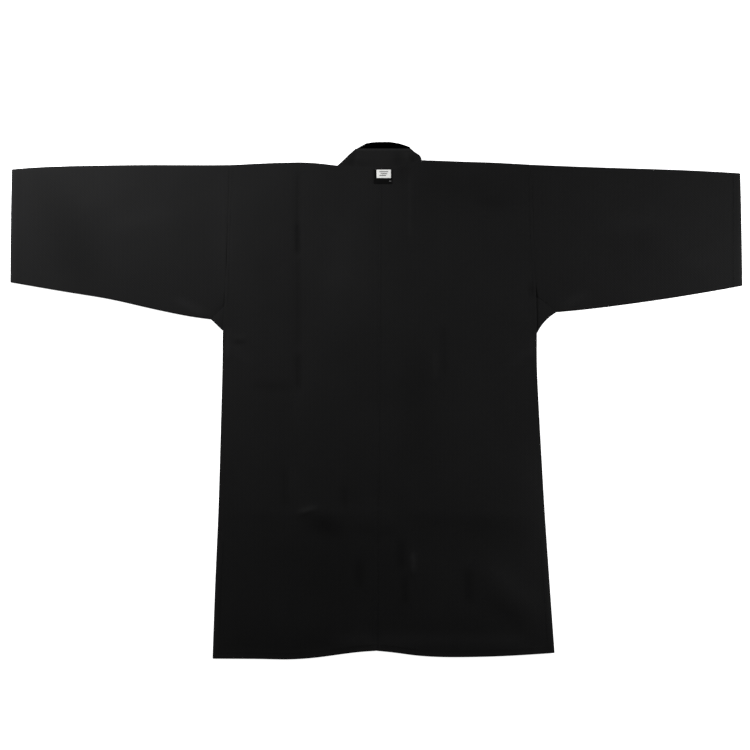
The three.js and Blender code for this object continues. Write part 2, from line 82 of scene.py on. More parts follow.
# On the back and the sleeves, with some that run from one piece on to the next
# Each crease also paints shade in its trough and a highlight on its ridge, through the fold mark
BACK_CREASES = (
    Crease(-136, 402, -137, 305, 5, -0.6),
    Crease(-137, 312, -136, 252, 5, -1.5),
    Crease(-135, 250, -136, 90, 6, -0.6),
    Crease(-136, 84, -136, 14, 6, -1.1),
    Crease(-218, 24, -142, 20, 10, -0.6),
    Crease(-262, 182, -264, 172, 5, -0.8),
    Crease(-78, 293, -68, 292, 8, -1.0),
    Crease(60, 394, 60, 284, 4, 0.6),
    Crease(46, 428, 44, 372, 11, -0.7),
    Crease(170, 345, 238, 342, 9, -0.5),
    Crease(118, 132, 119, 36, 7, -0.7),
    Crease(103, 86, 103, 32, 5, 0.7),
    Crease(-160, -116, -160, -196, 8, -0.7),
    Crease(-138, -198, -100, -186, 6, 1.5),
    Crease(-122, -214, -56, -236, 18, -1.6),
    Crease(-56, -150, -56, -196, 6, -0.6),
    Crease(-48, -228, 48, -236, 14, -0.5),
    Crease(66, -212, 252, -222, 20, -0.3),
    Crease(-30, -276, -30, -336, 9, -0.9),
    Crease(42, -240, 44, -304, 9, -1.1),
    Crease(64, -266, 64, -306, 5, 2.0),
    Crease(49, -306, 49, -364, 7, -0.9),
    Crease(160, -292, 160, -364, 9, -1.0),
    Crease(192, -284, 292, -380, 22, 0.9),
    Crease(176, -336, 270, -408, 18, -0.6),
    Crease(280, -60, 298, -430, 30, 0.9),
    Crease(-240, -290, 90, -325, 90, -0.8),
    Crease(40, 392, 260, 352, 42, -0.9),
    Crease(-262, 400, -266, 220, 26, 0.6),
    Crease(70, 100, 72, -140, 30, -0.6),
    Crease(-80, -424, 270, -424, 16, 1.2),
    Crease(-50, 330, -45, 120, 55, 1.0),
    Crease(-600, 226, -420, 222, 62, -0.35),
    Crease(-258, 126, -260, 70, 4, 1.2),
    Crease(272, 114, 272, 72, 4, 1.1),
    Crease(-252, 110, -226, 109, 4, 0.7),
    Crease(-252, 101, -226, 100, 4, -0.9),
    Crease(-266, 102, -214, 60, 9, 0.5),
    Crease(278, 98, 226, 50, 10, 0.5),
    Crease(271, 208, 270, 178, 6, -1.1),
    Crease(-292, 146, -352, 176, 8, 0.9),
    Crease(318, 160, 372, 188, 9, 0.9),
    Crease(-330, 330, -470, 300, 22, 0.6),
    Crease(-590, 400, -480, 170, 48, -0.9),
    Crease(380, 300, 500, 322, 20, 0.6),
    Crease(455, 300, 468, 250, 18, -0.5),
    Crease(520, 250, 600, 240, 16, 0.5),
)
# On the fronts, which lie on the table and so have ridges only
FRONT_CREASES = (
    Crease(-150, 300, -148, -60, 9, 0.9),
    Crease(140, 280, 142, -40, 8, 0.8),
    Crease(-240, -190, -60, -196, 13, 0.9),
    Crease(70, -200, 250, -206, 12, 0.8),
    Crease(-210, 90, -120, 40, 12, 0.7),
    Crease(230, 60, 120, 20, 14, 0.9),
)
# On the collar's nape
COLLAR_CREASES = (
    Crease(-46, 406, -30, 440, 5, -0.7),
    Crease(-34, 414, -26, 434, 5, 0.5),
    Crease(40, 404, 38, 440, 8, -0.8),
    Crease(58, 412, 52, 436, 4, 0.7),
    Crease(68, 410, 64, 430, 4, -0.6),
)
# A crease of this height changes the cloth's tone in full, as painted shade in a trough and painted highlight
# on a ridge, and a crease's ends fade over this many widths
CREASE_FULL_SHADE = 1.4 * MM
CREASE_END = 2.6

# How far in from an edge the creases have their full height
PANEL_EDGE = 14 * MM
NAPE_EDGE = 6 * MM
CUFF_EDGE = 20 * MM

# The slow waves of all the cloth. Each is longer than the one before and higher in proportion, and a wave of
# RUMPLE_LENGTH has RUMPLE_HEIGHT.
RUMPLE_WAVES = 8
RUMPLE_FIRST = 45 * MM
RUMPLE_GROWTH = 21 * MM
RUMPLE_LENGTH = 120 * MM
RUMPLE_HEIGHT = 0.088 * MM
RUMPLE_BEND = 12 * MM
RUMPLE_BEND_RATE = 7.0
RUMPLE_TURN = 2.4
RUMPLE_SHIFT = 1.7

# The back stands this far off the pieces under it, from this far in from its outline
LOFT = 1.2 * MM
LOFT_EDGE = 60 * MM
CLEARANCE = 0.1 * MM

# The side slits end at this height along the jacket, and a hem's step is twice this wide
SLIT_TOP = -210 * MM
HEM_STEP = 2 * MM

# The middle seam: how wide and deep it sinks, and the puckers beside it
SEAM_ROLL = 2.6 * MM
SEAM_DEPTH = 0.06 * MM
PUCKER_REACH = 8 * MM
PUCKER_HEIGHT = 0.05 * MM
PUCKER_LENGTH = 13 * MM
PUCKER_SLANT = 9

# How much further out cloth lies than its solid, in millimetres: the nape's left end by height along the
# jacket, and the inner leaf's upper edge from left to right
NAPE_SPREAD = ((417, 0.0), (429, 3.4), (438, 4.7))
LEAF_RISE = ((-36, 2.6), (-15, 1.2), (10, 0.5), (35, 1.0), (58, 4.5))

# The nape's left end is this long, and its lower edge comes down to the back over this distance
NAPE_END = 30 * MM
NAPE_RUN = 16 * MM
NAPE_OVERLAP = 2 * MM

# The sleeves' long folds stand out this far, and their cuffs' hems end between these distances from the cuff
FOLD_SPREAD = 0.8 * MM
CUFF_HEM = (14 * MM, 18 * MM)

# How much a sleeve's cloth faces up from where its creases start to where they are full, and from where its
# fold is most worn to where that ends. Nothing below this height above the table is worn.
CREASE_FACES = (0.80, 0.99)
WORN_FACES = (0.3, 0.97)
WORN_FOOT = 0.5 * MM

# Edges are rubbed over this distance, and rims are rounded by this or by this share of a thin wall
WEAR_REACH = 3.5 * MM
RIM = 0.3 * MM
RIM_ANGLE = math.radians(55)
RIM_SHARE = 0.32
LABEL_RIM_SHARE = 0.3
LABEL_CLEARANCE = 0.15 * MM


class ClothSizes(bpy.types.PropertyGroup):
    """Sizes and colours of the cloth"""

    wall: FloatProperty(
        name="Cloth", description="Thickness of the quilted cotton", default=1.7 * MM, unit="LENGTH"
    )
    band_wall: FloatProperty(
        name="Collar", description="Thickness of the folded collar", default=2.8 * MM, unit="LENGTH"
    )
    tie_wall: FloatProperty(
        name="Tie", description="Thickness of a tie", default=1.4 * MM, unit="LENGTH"
    )
    label_wall: FloatProperty(
        name="Label", description="Thickness of the label's cloth", default=0.7 * MM, unit="LENGTH"
    )
    hem: FloatProperty(
        name="Hem", description="Width of the turned hems", default=12 * MM, unit="LENGTH"
    )
    hem_rise: FloatProperty(
        name="Hem's rise", description="How far a turned hem stands up", default=0.5 * MM, unit="LENGTH"
    )
    levels: IntProperty(
        name="Fineness", description="How often each face of the model is split", default=3, min=1, max=4
    )
    cotton: FloatVectorProperty(
        name="Cotton", description="Colour of the quilted cotton",
        subtype="COLOR", default=(0.0127, 0.0127, 0.0129),
    )
    # Also paints the highlight along the nape's top fold, besides rubbed wear
    worn: FloatVectorProperty(
        name="Worn cotton", description="Colour of rubbed edges",
        subtype="COLOR", default=(0.0185, 0.0185, 0.0188),
    )
    # The inner leaf's near-black is painted shade, the dark inside of the collar's opening
    inner: FloatVectorProperty(
        name="Inner collar", description="Colour of the inner leaf",
        subtype="COLOR", default=(0.0005, 0.0005, 0.0005),
    )
    label_black: FloatVectorProperty(
        name="Patch", description="Colour of the label's patch",
        subtype="COLOR", default=(0.0048, 0.0048, 0.0048),
    )
    label_white: FloatVectorProperty(
        name="Field", description="Colour of the label's field",
        subtype="COLOR", default=(0.8, 0.8, 0.78),
    )
    mark: FloatVectorProperty(
        name="Marks", description="Colour of the label's plain bars",
        subtype="COLOR", default=(0.2, 0.2, 0.2),
    )


class SewingSizes(bpy.types.PropertyGroup):
    """Sizes and colours of the sewing"""

    stitch: FloatProperty(
        name="Stitch", description="Length of a stitch", default=3.2 * MM, unit="LENGTH"
    )
    gap: FloatProperty(
        name="Gap", description="Gap between two stitches", default=0.9 * MM, unit="LENGTH"
    )
    thread: FloatProperty(
        name="Thread", description="Width of the thread", default=0.45 * MM, unit="LENGTH"
    )
    colour: FloatVectorProperty(
        name="Thread", description="Colour of the thread",
        subtype="COLOR", default=(0.0072, 0.0072, 0.0074),
    )


class StageSizes(bpy.types.PropertyGroup):
    """The lights, the floor and the camera"""

    key: FloatProperty(
        name="Key light", description="Power of the light at the upper left", default=21.0, unit="POWER"
    )
    fill: FloatProperty(
        name="Fill light", description="Power of the light at the right", default=15.0, unit="POWER"
    )
    air: FloatProperty(
        name="Room", description="Brightness of the room's own light", default=0.02
    )
    floor: FloatVectorProperty(
        name="Floor", description="Colour of the floor",
        subtype="COLOR", default=(0.9, 0.9, 0.9),
    )
    glow: FloatProperty(
        name="Floor's glow", description="Light that comes from the pale floor", default=1.0
    )
    height: FloatProperty(
        name="Camera", description="Height of the camera above the floor", default=4.0, unit="LENGTH"
    )


class Graph:
    """Adds nodes to one tree, each with its inputs given by name or number"""

    # A Mix node's sockets for colours
    LOW, HIGH, RESULT = 6, 7, 2

    def __init__(self, tree):
        self.tree = tree

    def add(self, kind, inputs=None, **settings):
        node = self.tree.nodes.new(kind)
        for name, value in settings.items():
            setattr(node, name, value)
        for key, value in (inputs or {}).items():
            if isinstance(value, bpy.types.NodeSocket):
                self.tree.links.new(value, node.inputs[key])
            else:
                node.inputs[key].default_value = value
        return node

    def math(self, operation, *values, clamp=False):
        numbered = dict(enumerate(values))
        return self.add("ShaderNodeMath", numbered, operation=operation, use_clamp=clamp).outputs[0]

    def vector(self, operation, inputs):
        return self.add("ShaderNodeVectorMath", inputs, operation=operation).outputs[0]

    def blend(self, factor, low, high):
        values = {"Factor": factor, self.LOW: low, self.HIGH: high}
        return self.add("ShaderNodeMix", values, data_type="RGBA").outputs[self.RESULT]


def new_group(name, inputs, outputs):
    """An empty shader group with its sockets, and its graph, input node and output node"""
    group = bpy.data.node_groups.new(name, "ShaderNodeTree")
    kinds = {"value": "NodeSocketFloat", "colour": "NodeSocketColor"}
    for socket, (kind, value) in inputs.items():
        made = group.interface.new_socket(name=socket, in_out="INPUT", socket_type=kinds[kind])
        made.default_value = value
    for socket, kind in outputs.items():
        group.interface.new_socket(name=socket, in_out="OUTPUT", socket_type=kinds[kind])
    graph = Graph(group)
    return graph, graph.add("NodeGroupInput"), graph.add("NodeGroupOutput")


def finish_group(graph, leave, values):
    for socket, value in values.items():
        graph.tree.links.new(value, leave.inputs[socket])
    return graph.tree


# One over the shares of a cell's half width and half length that a grain takes up
GRAIN_ACROSS = 2.15
GRAIN_ALONG = 2.2
# A grain's width as a share of its length
GRAIN_SHAPE = 0.52


def grain_group():
    """Rows of short raised grains, each row set off by half a grain, as quilted cotton has"""
    name = "Rice grains"
    if name in bpy.data.node_groups:
        return bpy.data.node_groups[name]
    sizes = {"Length": ("value", 4.4 * MM), "Width": ("value", 2.3 * MM), "Wander": ("value", 0.5 * MM)}
    graph, entry, leave = new_group(name, sizes, {"Height": "value", "Gap": "value"})
    place = graph.add("ShaderNodeTexCoord").outputs["Object"]
    drift = graph.add("ShaderNodeTexNoise", {"Vector": place, "Scale": 160.0, "Detail": 1.0})
    shift = graph.vector("SUBTRACT", {0: drift.outputs["Color"], 1: (0.5, 0.5, 0.5)})
    moved = graph.vector("SCALE", {0: shift, "Scale": entry.outputs["Wander"]})
    parts = graph.add("ShaderNodeSeparateXYZ", {0: graph.vector("ADD", {0: place, 1: moved})})
    across = graph.math("DIVIDE", parts.outputs["X"], entry.outputs["Width"])
    along = graph.math("DIVIDE", parts.outputs["Y"], entry.outputs["Length"])
    row = graph.math("FLOOR", across)
    set_off = graph.math("MULTIPLY_ADD", graph.math("PINGPONG", row, 1.0), 0.5, along)
    u = graph.math("SUBTRACT", graph.math("FRACT", across), 0.5)
    v = graph.math("SUBTRACT", graph.math("FRACT", set_off), 0.5)
    round_u = graph.math("POWER", graph.math("MULTIPLY", u, GRAIN_ACROSS), 2.0)
    round_v = graph.math("POWER", graph.math("MULTIPLY", v, GRAIN_ALONG), 2.0)
    left = graph.math("SUBTRACT", 1.0, graph.math("ADD", round_u, round_v), clamp=True)
    height = graph.math("SQRT", left)
    gap = graph.math("SUBTRACT", 1.0, height, clamp=True)
    return finish_group(graph, leave, {"Height": height, "Gap": gap})


def canvas_group():
    """Threads that pass over and under each other, as plain woven cloth has"""
    name = "Canvas threads"
    if name in bpy.data.node_groups:
        return bpy.data.node_groups[name]
    sizes = {"Pitch": ("value", 0.9 * MM)}
    graph, entry, leave = new_group(name, sizes, {"Height": "value", "Gap": "value"})
    place = graph.add("ShaderNodeTexCoord").outputs["Object"]
    parts = graph.add("ShaderNodeSeparateXYZ", {0: place})
    rate = graph.math("DIVIDE", math.pi, entry.outputs["Pitch"])
    u = graph.math("MULTIPLY", parts.outputs["X"], rate)
    v = graph.math("MULTIPLY", parts.outputs["Y"], rate)
    weft = graph.math("ABSOLUTE", graph.math("SINE", u))
    warp = graph.math("ABSOLUTE", graph.math("SINE", v))
    over = graph.math("MULTIPLY", graph.math("COSINE", u), graph.math("COSINE", v))
    side = graph.math("MULTIPLY_ADD", over, 0.5, 0.5, clamp=True)
    lifted = graph.math("MULTIPLY", weft, side)
    sunk = graph.math("MULTIPLY", warp, graph.math("SUBTRACT", 1.0, side))
    height = graph.math("ADD", lifted, sunk, clamp=True)
    gap = graph.math("SUBTRACT", 1.0, height, clamp=True)
    return finish_group(graph, leave, {"Height": height, "Gap": gap})


# How much single fibres change the tone and the height, how far rubbing spreads, and how much rougher it
# makes the cloth
FIBRE_TONE = 0.3
FIBRE_HEIGHT = 0.25
RUB_SPREAD = 1.4
RUB_ROUGHNESS = 0.05


def cotton_group():
    """The tone of dyed cotton: patches, fibres, painted shade in the gaps of the weave, painted shade in
    crease troughs and painted highlight on crease ridges, and paler rubbed edges
    """
    name = "Dyed cotton"
    if name in bpy.data.node_groups:
        return bpy.data.node_groups[name]
    inputs = {
        "Colour": ("colour", (0.01, 0.01, 0.01, 1.0)),
        "Worn Colour": ("colour", (0.02, 0.02, 0.02, 1.0)),
        "Patches": ("value", 0.12),
        "Gap": ("value", 0.0),
        "Painted Gap Shade": ("value", 0.35),
        "Painted Fold Shade": ("value", 0.26),
        "Roughness": ("value", 0.9),
    }
    outputs = {"Colour": "colour", "Roughness": "value", "Fibres": "value"}
    graph, entry, leave = new_group(name, inputs, outputs)
    place = graph.add("ShaderNodeTexCoord").outputs["Object"]
    wide = graph.add("ShaderNodeTexNoise", {"Vector": place, "Scale": 9.0, "Detail": 3.0, "Roughness": 0.6})
    fibres = graph.add("ShaderNodeTexNoise", {"Vector": place, "Scale": 2600.0, "Detail": 2.0})
    worn = graph.add("ShaderNodeAttribute", attribute_name="worn").outputs["Fac"]
    folds = graph.add("ShaderNodeAttribute", attribute_name="fold").outputs["Fac"]
    rubbed = graph.add("ShaderNodeTexNoise", {"Vector": place, "Scale": 240.0, "Detail": 3.0})
    patch = graph.math("SUBTRACT", wide.outputs["Fac"], 0.5)
    tone = graph.math("MULTIPLY_ADD", graph.math("MULTIPLY", patch, 2.0), entry.outputs["Patches"], 1.0)
    # Painted shade: the gaps between grains or threads are made darker
    gap_shade = graph.math("MULTIPLY", entry.outputs["Gap"], entry.outputs["Painted Gap Shade"])
    tone_with_gap_shade = graph.math("MULTIPLY", tone, graph.math("SUBTRACT", 1.0, gap_shade))
    speck = graph.math("MULTIPLY_ADD", fibres.outputs["Fac"], FIBRE_TONE, 1 - FIBRE_TONE / 2)
    # Painted shade in crease troughs and painted highlight on crease ridges, by how far each point stands in
    # a trough or on a ridge
    fold_shading = graph.math("MULTIPLY_ADD", folds, entry.outputs["Painted Fold Shade"], 1.0)
    level = graph.math("MULTIPLY", graph.math("MULTIPLY", tone_with_gap_shade, speck), fold_shading)
    shade = graph.add("ShaderNodeCombineXYZ", {0: level, 1: level, 2: level})
    dyed = graph.vector("MULTIPLY", {0: entry.outputs["Colour"], 1: shade.outputs[0]})
    uneven = graph.math("MULTIPLY", rubbed.outputs["Fac"], RUB_SPREAD)
    edge = graph.math("MULTIPLY", worn, uneven, clamp=True)
    colour = graph.blend(edge, dyed, entry.outputs["Worn Colour"])
    rough = graph.math("MULTIPLY_ADD", edge, RUB_ROUGHNESS, entry.outputs["Roughness"], clamp=True)
    values = {"Colour": colour, "Roughness": rough, "Fibres": fibres.outputs["Fac"]}
    return finish_group(graph, leave, values)


def twist_group():
    """Fine slanting ridges, as twisted thread has, and its fuzz"""
    name = "Thread twist"
    if name in bpy.data.node_groups:
        return bpy.data.node_groups[name]
    sizes = {"Twist Scale": ("value", 620.0), "Fuzz Scale": ("value", 1800.0)}
    graph, entry, leave = new_group(name, sizes, {"Twist": "value", "Fuzz": "value"})
    place = graph.add("ShaderNodeTexCoord").outputs["Object"]
    ridges = {"Vector": place, "Scale": entry.outputs["Twist Scale"], "Distortion": 1.5}
    twist = graph.add("ShaderNodeTexWave", ridges, bands_direction="DIAGONAL")
    specks = {"Vector": place, "Scale": entry.outputs["Fuzz Scale"], "Detail": 2.0}
    fuzz = graph.add("ShaderNodeTexNoise", specks)
    return finish_group(graph, leave, {"Twist": twist.outputs["Fac"], "Fuzz": fuzz.outputs["Fac"]})


class Finish(NamedTuple):
    """What sets one cloth's material apart from another's"""

    weave: str
    length: float
    depth: float
    rough: float
    shine: float
    fuzz: float
    patches: float


FINISHES = {
    "quilted_cotton": Finish("grain", 4.4 * MM, 0.22 * MM, 0.95, 0.010, 0.004, 0.10),
    "collar_cotton": Finish("canvas", 0.9 * MM, 0.10 * MM, 0.95, 0.010, 0.004, 0.08),
    # Near-black cloth as painted shade in the collar's opening
    "inner_cotton": Finish("canvas", 0.7 * MM, 0.06 * MM, 0.95, 0.0, 0.0, 0.05),
    "tie_cotton": Finish("canvas", 0.8 * MM, 0.10 * MM, 0.95, 0.010, 0.004, 0.08),
    "label_black": Finish("canvas", 0.45 * MM, 0.05 * MM, 0.90, 0.010, 0.0, 0.04),
    "label_white": Finish("canvas", 0.45 * MM, 0.05 * MM, 0.65, 0.20, 0.0, 0.03),
}


def new_material(title):
    """An empty material and its graph"""
    material = bpy.data.materials.new(title)
    material.use_nodes = True
    material.node_tree.nodes.clear()
    return material, Graph(material.node_tree)


def add_surface(graph, inputs):
    surface = graph.add("ShaderNodeBsdfPrincipled", inputs)
    graph.add("ShaderNodeOutputMaterial", {"Surface": surface.outputs["BSDF"]})


def cloth_material(name, colour, worn):
    """The material of one cloth, with its weave in the bump and in the tone, where the gaps of the weave get
    painted shade
    """
    title = "woven_" + name
    if title in bpy.data.materials:
        return bpy.data.materials[title]
    finish = FINISHES[name]
    material, graph = new_material(title)
    if finish.weave == "grain":
        sizes = {"Length": finish.length, "Width": finish.length * GRAIN_SHAPE}
        weave = graph.add("ShaderNodeGroup", sizes, node_tree=grain_group())
    else:
        weave = graph.add("ShaderNodeGroup", {"Pitch": finish.length}, node_tree=canvas_group())
    values = {
        "Colour": (*colour, 1.0),
        "Worn Colour": (*worn, 1.0),
        "Patches": finish.patches,
        "Gap": weave.outputs["Gap"],
        "Roughness": finish.rough,
    }
    tone = graph.add("ShaderNodeGroup", values, node_tree=cotton_group())
    fuzzy = graph.math("MULTIPLY_ADD", tone.outputs["Fibres"], FIBRE_HEIGHT, weave.outputs["Height"])
    bump = graph.add("ShaderNodeBump", {"Height": fuzzy, "Strength": 0.45, "Distance": finish.depth})
    inputs = {
        "Base Color": tone.outputs["Colour"],
        "Roughness": tone.outputs["Roughness"],
        "Specular IOR Level": finish.shine,
        "Sheen Weight": finish.fuzz,
        "Sheen Roughness": 0.6,
        "Normal": bump.outputs["Normal"],
    }
    add_surface(graph, inputs)
    return material


# How much paler a thread is painted on the ridges of its twist, as a painted highlight, its roughness, and
# how much its fuzz adds to that
TWIST_HIGHLIGHT = 1.5
THREAD_ROUGHNESS = 0.55
FUZZ_ROUGHNESS = 0.2


def thread_material(name, colour):
    """Twisted thread, paler on the ridges of its twist as a painted highlight"""
    if name in bpy.data.materials:
        return bpy.data.materials[name]
    material, graph = new_material(name)
    thread = graph.add("ShaderNodeGroup", node_tree=twist_group())
    twist = thread.outputs["Twist"]
    # Painted highlight: the colour for the ridges of the twist
    light = [min(1.0, part * TWIST_HIGHLIGHT) for part in colour]
    bump = graph.add("ShaderNodeBump", {"Height": twist, "Strength": 0.6, "Distance": 0.08 * MM})
    inputs = {
        "Base Color": graph.blend(twist, (*colour, 1.0), (*light, 1.0)),
        "Roughness": graph.math("MULTIPLY_ADD", thread.outputs["Fuzz"], FUZZ_ROUGHNESS, THREAD_ROUGHNESS),
        "Specular IOR Level": 0.02,
        "Normal": bump.outputs["Normal"],
    }
    add_surface(graph, inputs)
    return material


def node_mesh(node):
    """A node's mesh with its corners joined"""
    mesh = bmesh.new()
    mesh.from_mesh(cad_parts[node].data)
    bmesh.ops.remove_doubles(mesh, verts=mesh.verts, dist=1e-6)
    mesh.normal_update()
    return mesh


def edge_at(face, corner, shared):
    return next(edge for edge in face.edges if edge != shared and corner in edge.verts)


def pair_triangles(mesh):
    """Joins the triangles of a regular net to the four-sided faces that they were cut from.

    A sheet has a corner with one triangle, and the cut lies opposite it. A tube has none, so there the
    triangle with the best right angle is taken. From there on, the other two kinds of edge change places
    across each shared edge.
    """

    def off_square(face):
        return abs(max(loop.calc_angle() for loop in face.loops) - math.pi / 2)

    corner = next((vert for vert in mesh.verts if len(vert.link_faces) == 1), None)
    if corner:
        start = corner.link_faces[0]
        row, column = corner.link_edges
        cut = next(edge for edge in start.edges if corner not in edge.verts)
    else:
        start = min(mesh.faces, key=off_square)
        cut, row, column = sorted(start.edges, key=lambda edge: -edge.calc_length())
    known = {start: {cut: "cut", row: "row", column: "column"}}
    waiting = [start]
    while waiting:
        face = waiting.pop()
        for edge in face.edges:
            for other in edge.link_faces:
                if other in known:
                    continue
                one, two = edge.verts
                known[other] = {
                    edge: known[face][edge],
                    edge_at(other, one, edge): known[face][edge_at(face, two, edge)],
                    edge_at(other, two, edge): known[face][edge_at(face, one, edge)],
                }
                waiting.append(other)
    cuts = {edge for kinds in known.values() for edge, kind in kinds.items() if kind == "cut"}
    bmesh.ops.dissolve_edges(mesh, edges=list(cuts), use_verts=False)


# The most that a sheet's under side and rims face up, and the least that a tube's rims face to the side
UNDER_FACES = 0.3
RIM_FACES = 0.8


def upper_side(node):
    """The upper side of a sheet that lies flat"""
    mesh = node_mesh(node)
    under = [face for face in mesh.faces if face.normal.z < UNDER_FACES]
    bmesh.ops.delete(mesh, geom=under, context="FACES")
    pair_triangles(mesh)
    return mesh


def outside(node):
    """The outside of a tube that lies flat, without its inner wall and its rims"""
    mesh = node_mesh(node)
    rims = [face for face in mesh.faces if abs(face.normal.x) > RIM_FACES]
    bmesh.ops.delete(mesh, geom=rims, context="FACES")
    parts = []
    left = set(mesh.verts)
    while left:
        found = {left.pop()}
        edge = list(found)
        while edge:
            near = {link.other_vert(vert) for vert in edge for link in vert.link_edges}
            edge = list(near - found)
            found |= near
        left -= found
        parts.append(found)
    spans = [max(vert.co.z for vert in part) - min(vert.co.z for vert in part) for part in parts]
    keep = parts[spans.index(max(spans))]
    spare = [vert for vert in mesh.verts if vert not in keep]
    bmesh.ops.delete(mesh, geom=spare, context="VERTS")
    pair_triangles(mesh)
    return mesh


# Edges shorter than this turn too freely to show where an outline or a fold turns
SHORT_EDGE = 8 * MM


def turning_pairs(vert, turn):
    """Pairs of a corner's long edges that share no face and turn there by more than an angle"""
    for one, two in itertools.combinations(vert.link_edges, 2):
        if set(one.link_faces) & set(two.link_faces):
            continue
        if min(one.calc_length(), two.calc_length()) < SHORT_EDGE:
            continue
        ways = [edge.other_vert(vert).co - vert.co for edge in (one, two)]
        if math.pi - ways[0].angle(ways[1]) > turn:
            yield one, two


def pin_corners(mesh, turn=math.radians(20)):
    """Keeps the corners where an outline or a fold turns, while the rest is rounded off"""
    pinned = mesh.verts.layers.float.new("crease_vert")
    for vert in mesh.verts:
        if any(one.is_boundary == two.is_boundary for one, two in turning_pairs(vert, turn)):
            vert[pinned] = 1.0


def straight_on(vert, edge):
    """The edges that go straight on from an edge, each across a corner with four edges"""
    line = [edge]
    here = edge.other_vert(vert)
    while here != vert:
        behind = set(line[-1].link_faces)
        ahead = [link for link in here.link_edges if not behind & set(link.link_faces)]
        if len(ahead) != 1:
            break
        line.append(ahead[0])
        here = ahead[0].other_vert(here)
    return line


def keep_bends(mesh, turn=math.radians(12)):
    """Creases a tube all round where its long folds turn, so that the turn isn't rounded off"""
    creased = mesh.edges.layers.float.new("crease_edge")
    for vert in mesh.verts:
        if vert.is_boundary:
            continue
        for pair in turning_pairs(vert, turn):
            for start in set(vert.link_edges) - set(pair):
                for edge in straight_on(vert, start):
                    edge[creased] = 1.0


def applied(piece):
    """Replaces a piece's mesh by what its modifiers make of it"""
    depsgraph = bpy.context.evaluated_depsgraph_get()
    made = bpy.data.meshes.new_from_object(piece.evaluated_get(depsgraph))
    old = piece.data
    piece.modifiers.clear()
    piece.data = made
    bpy.data.meshes.remove(old)


def new_piece(name, mesh_data):
    piece = bpy.data.objects.new(name, mesh_data)
    bpy.context.scene.collection.objects.link(piece)
    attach(piece, BODY)
    return piece


def smooth_shell(name, mesh, levels, overlap=0.5 * MM, keep=pin_corners):
    """A finer, smoother copy of a mesh, as a piece, with its outline moved out by the seams' overlap"""
    keep(mesh)
    data = bpy.data.meshes.new(name)
    mesh.to_mesh(data)
    mesh.free()
    piece = new_piece(name, data)
    rounding = piece.modifiers.new("rounding", "SUBSURF")
    rounding.levels = levels
    rounding.render_levels = levels
    rounding.boundary_smooth = "PRESERVE_CORNERS"
    applied(piece)
    spread_outline(piece, overlap)
    return piece


def spread_outline(piece, reach):
    """Moves the outline outward, so that cloths which are sewn together meet without a gap"""
    mesh = bmesh.new()
    mesh.from_mesh(piece.data)
    moves = {}
    for edge in mesh.edges:
        if not edge.is_boundary:
            continue
        one, two = edge.verts
        face = edge.link_faces[0]
        outward = (two.co - one.co).cross(face.normal).normalized()
        if outward.dot(face.calc_center_median() - one.co) > 0:
            outward.negate()
        for vert in edge.verts:
            moves[vert] = moves.get(vert, Vector()) + outward
    for vert, outward in moves.items():
        vert.co += outward.normalized() * reach
    mesh.to_mesh(piece.data)
    mesh.free()


def read_points(piece, what="co"):
    """The places or normals of a piece's points, in rows of three"""
    values = np.empty(len(piece.data.vertices) * 3)
    piece.data.vertices.foreach_get(what, values)
    return values.reshape(-1, 3)


def write_points(piece, points):
    piece.data.vertices.foreach_set("co", points.ravel())
    piece.data.update()


def fade(values, low, high):
    share = np.clip((values - low) / (high - low), 0.0, 1.0)
    return share * share * (3 - 2 * share)


def crease_height(creases, x, y):
    """The sum of the creases at each place"""
    total = np.zeros_like(x)
    for crease in creases:
        x0, y0, x1, y1, width, height = (value * MM for value in crease)
        length = math.hypot(x1 - x0, y1 - y0)
        along = ((x - x0) * (x1 - x0) + (y - y0) * (y1 - y0)) / length
        aside = ((x - x0) * (y1 - y0) - (y - y0) * (x1 - x0)) / length
        ends = fade(along, -width, CREASE_END * width) * fade(length - along, -width, CREASE_END * width)
        total += height * ends * np.exp(-((aside / width) ** 2))
    return total


def rumple_height(x, y):
    """Slow, uneven waves over the whole cloth, made of a few crossing ones"""
    total = np.zeros_like(x)
    for number in range(RUMPLE_WAVES):
        angle = number * RUMPLE_TURN
        wavelength = RUMPLE_FIRST + RUMPLE_GROWTH * number
        aside = x * math.sin(angle) - y * math.cos(angle)
        bend = RUMPLE_BEND * np.sin(RUMPLE_BEND_RATE * aside + number)
        phase = (x * math.cos(angle) + y * math.sin(angle) + bend) / wavelength
        total += np.sin(2 * math.pi * phase + RUMPLE_SHIFT * number) * (wavelength / RUMPLE_LENGTH)
    return RUMPLE_HEIGHT * total


def line_reach(points, *lines):
    """How far each point lies from the nearest of some lines of points, seen from above"""
    best = np.full(len(points), np.inf)
    for line in lines:
        for start, end in zip(line[:-1, :2], line[1:, :2]):
            step = end - start
            share = np.clip(((points[:, :2] - start) @ step) / (step @ step), 0.0, 1.0)
            near = start + share[:, None] * step
            best = np.minimum(best, np.hypot(*(points[:, :2] - near).T))
    return best


def outline_sides(mesh):
    """The four sides of a sheet, each as points from corner to corner, by where they lie"""
    corners = [vert for vert in mesh.verts if len(vert.link_faces) == 1]
    if len(corners) != 4:
        raise RuntimeError(f"a sheet has {len(corners)} corners, not 4")
    start = corners[0]
    here = start
    walked = None
    sides = []
    line = [here.co.copy()]
    while True:
        edge = next(link for link in here.link_edges if link.is_boundary and link != walked)
        here = edge.other_vert(here)
        walked = edge
        line.append(here.co.copy())
        if here in corners:
            sides.append(np.array(line))
            line = [here.co.copy()]
        if here == start:
            break
    middles = [side.mean(axis=0) for side in sides]
    names = {
        "left": min(range(4), key=lambda k: middles[k][0]),
        "right": max(range(4), key=lambda k: middles[k][0]),
        "foot": min(range(4), key=lambda k: middles[k][1]),
        "top": max(range(4), key=lambda k: middles[k][1]),
    }
    return {name: sides[k] for name, k in names.items()}


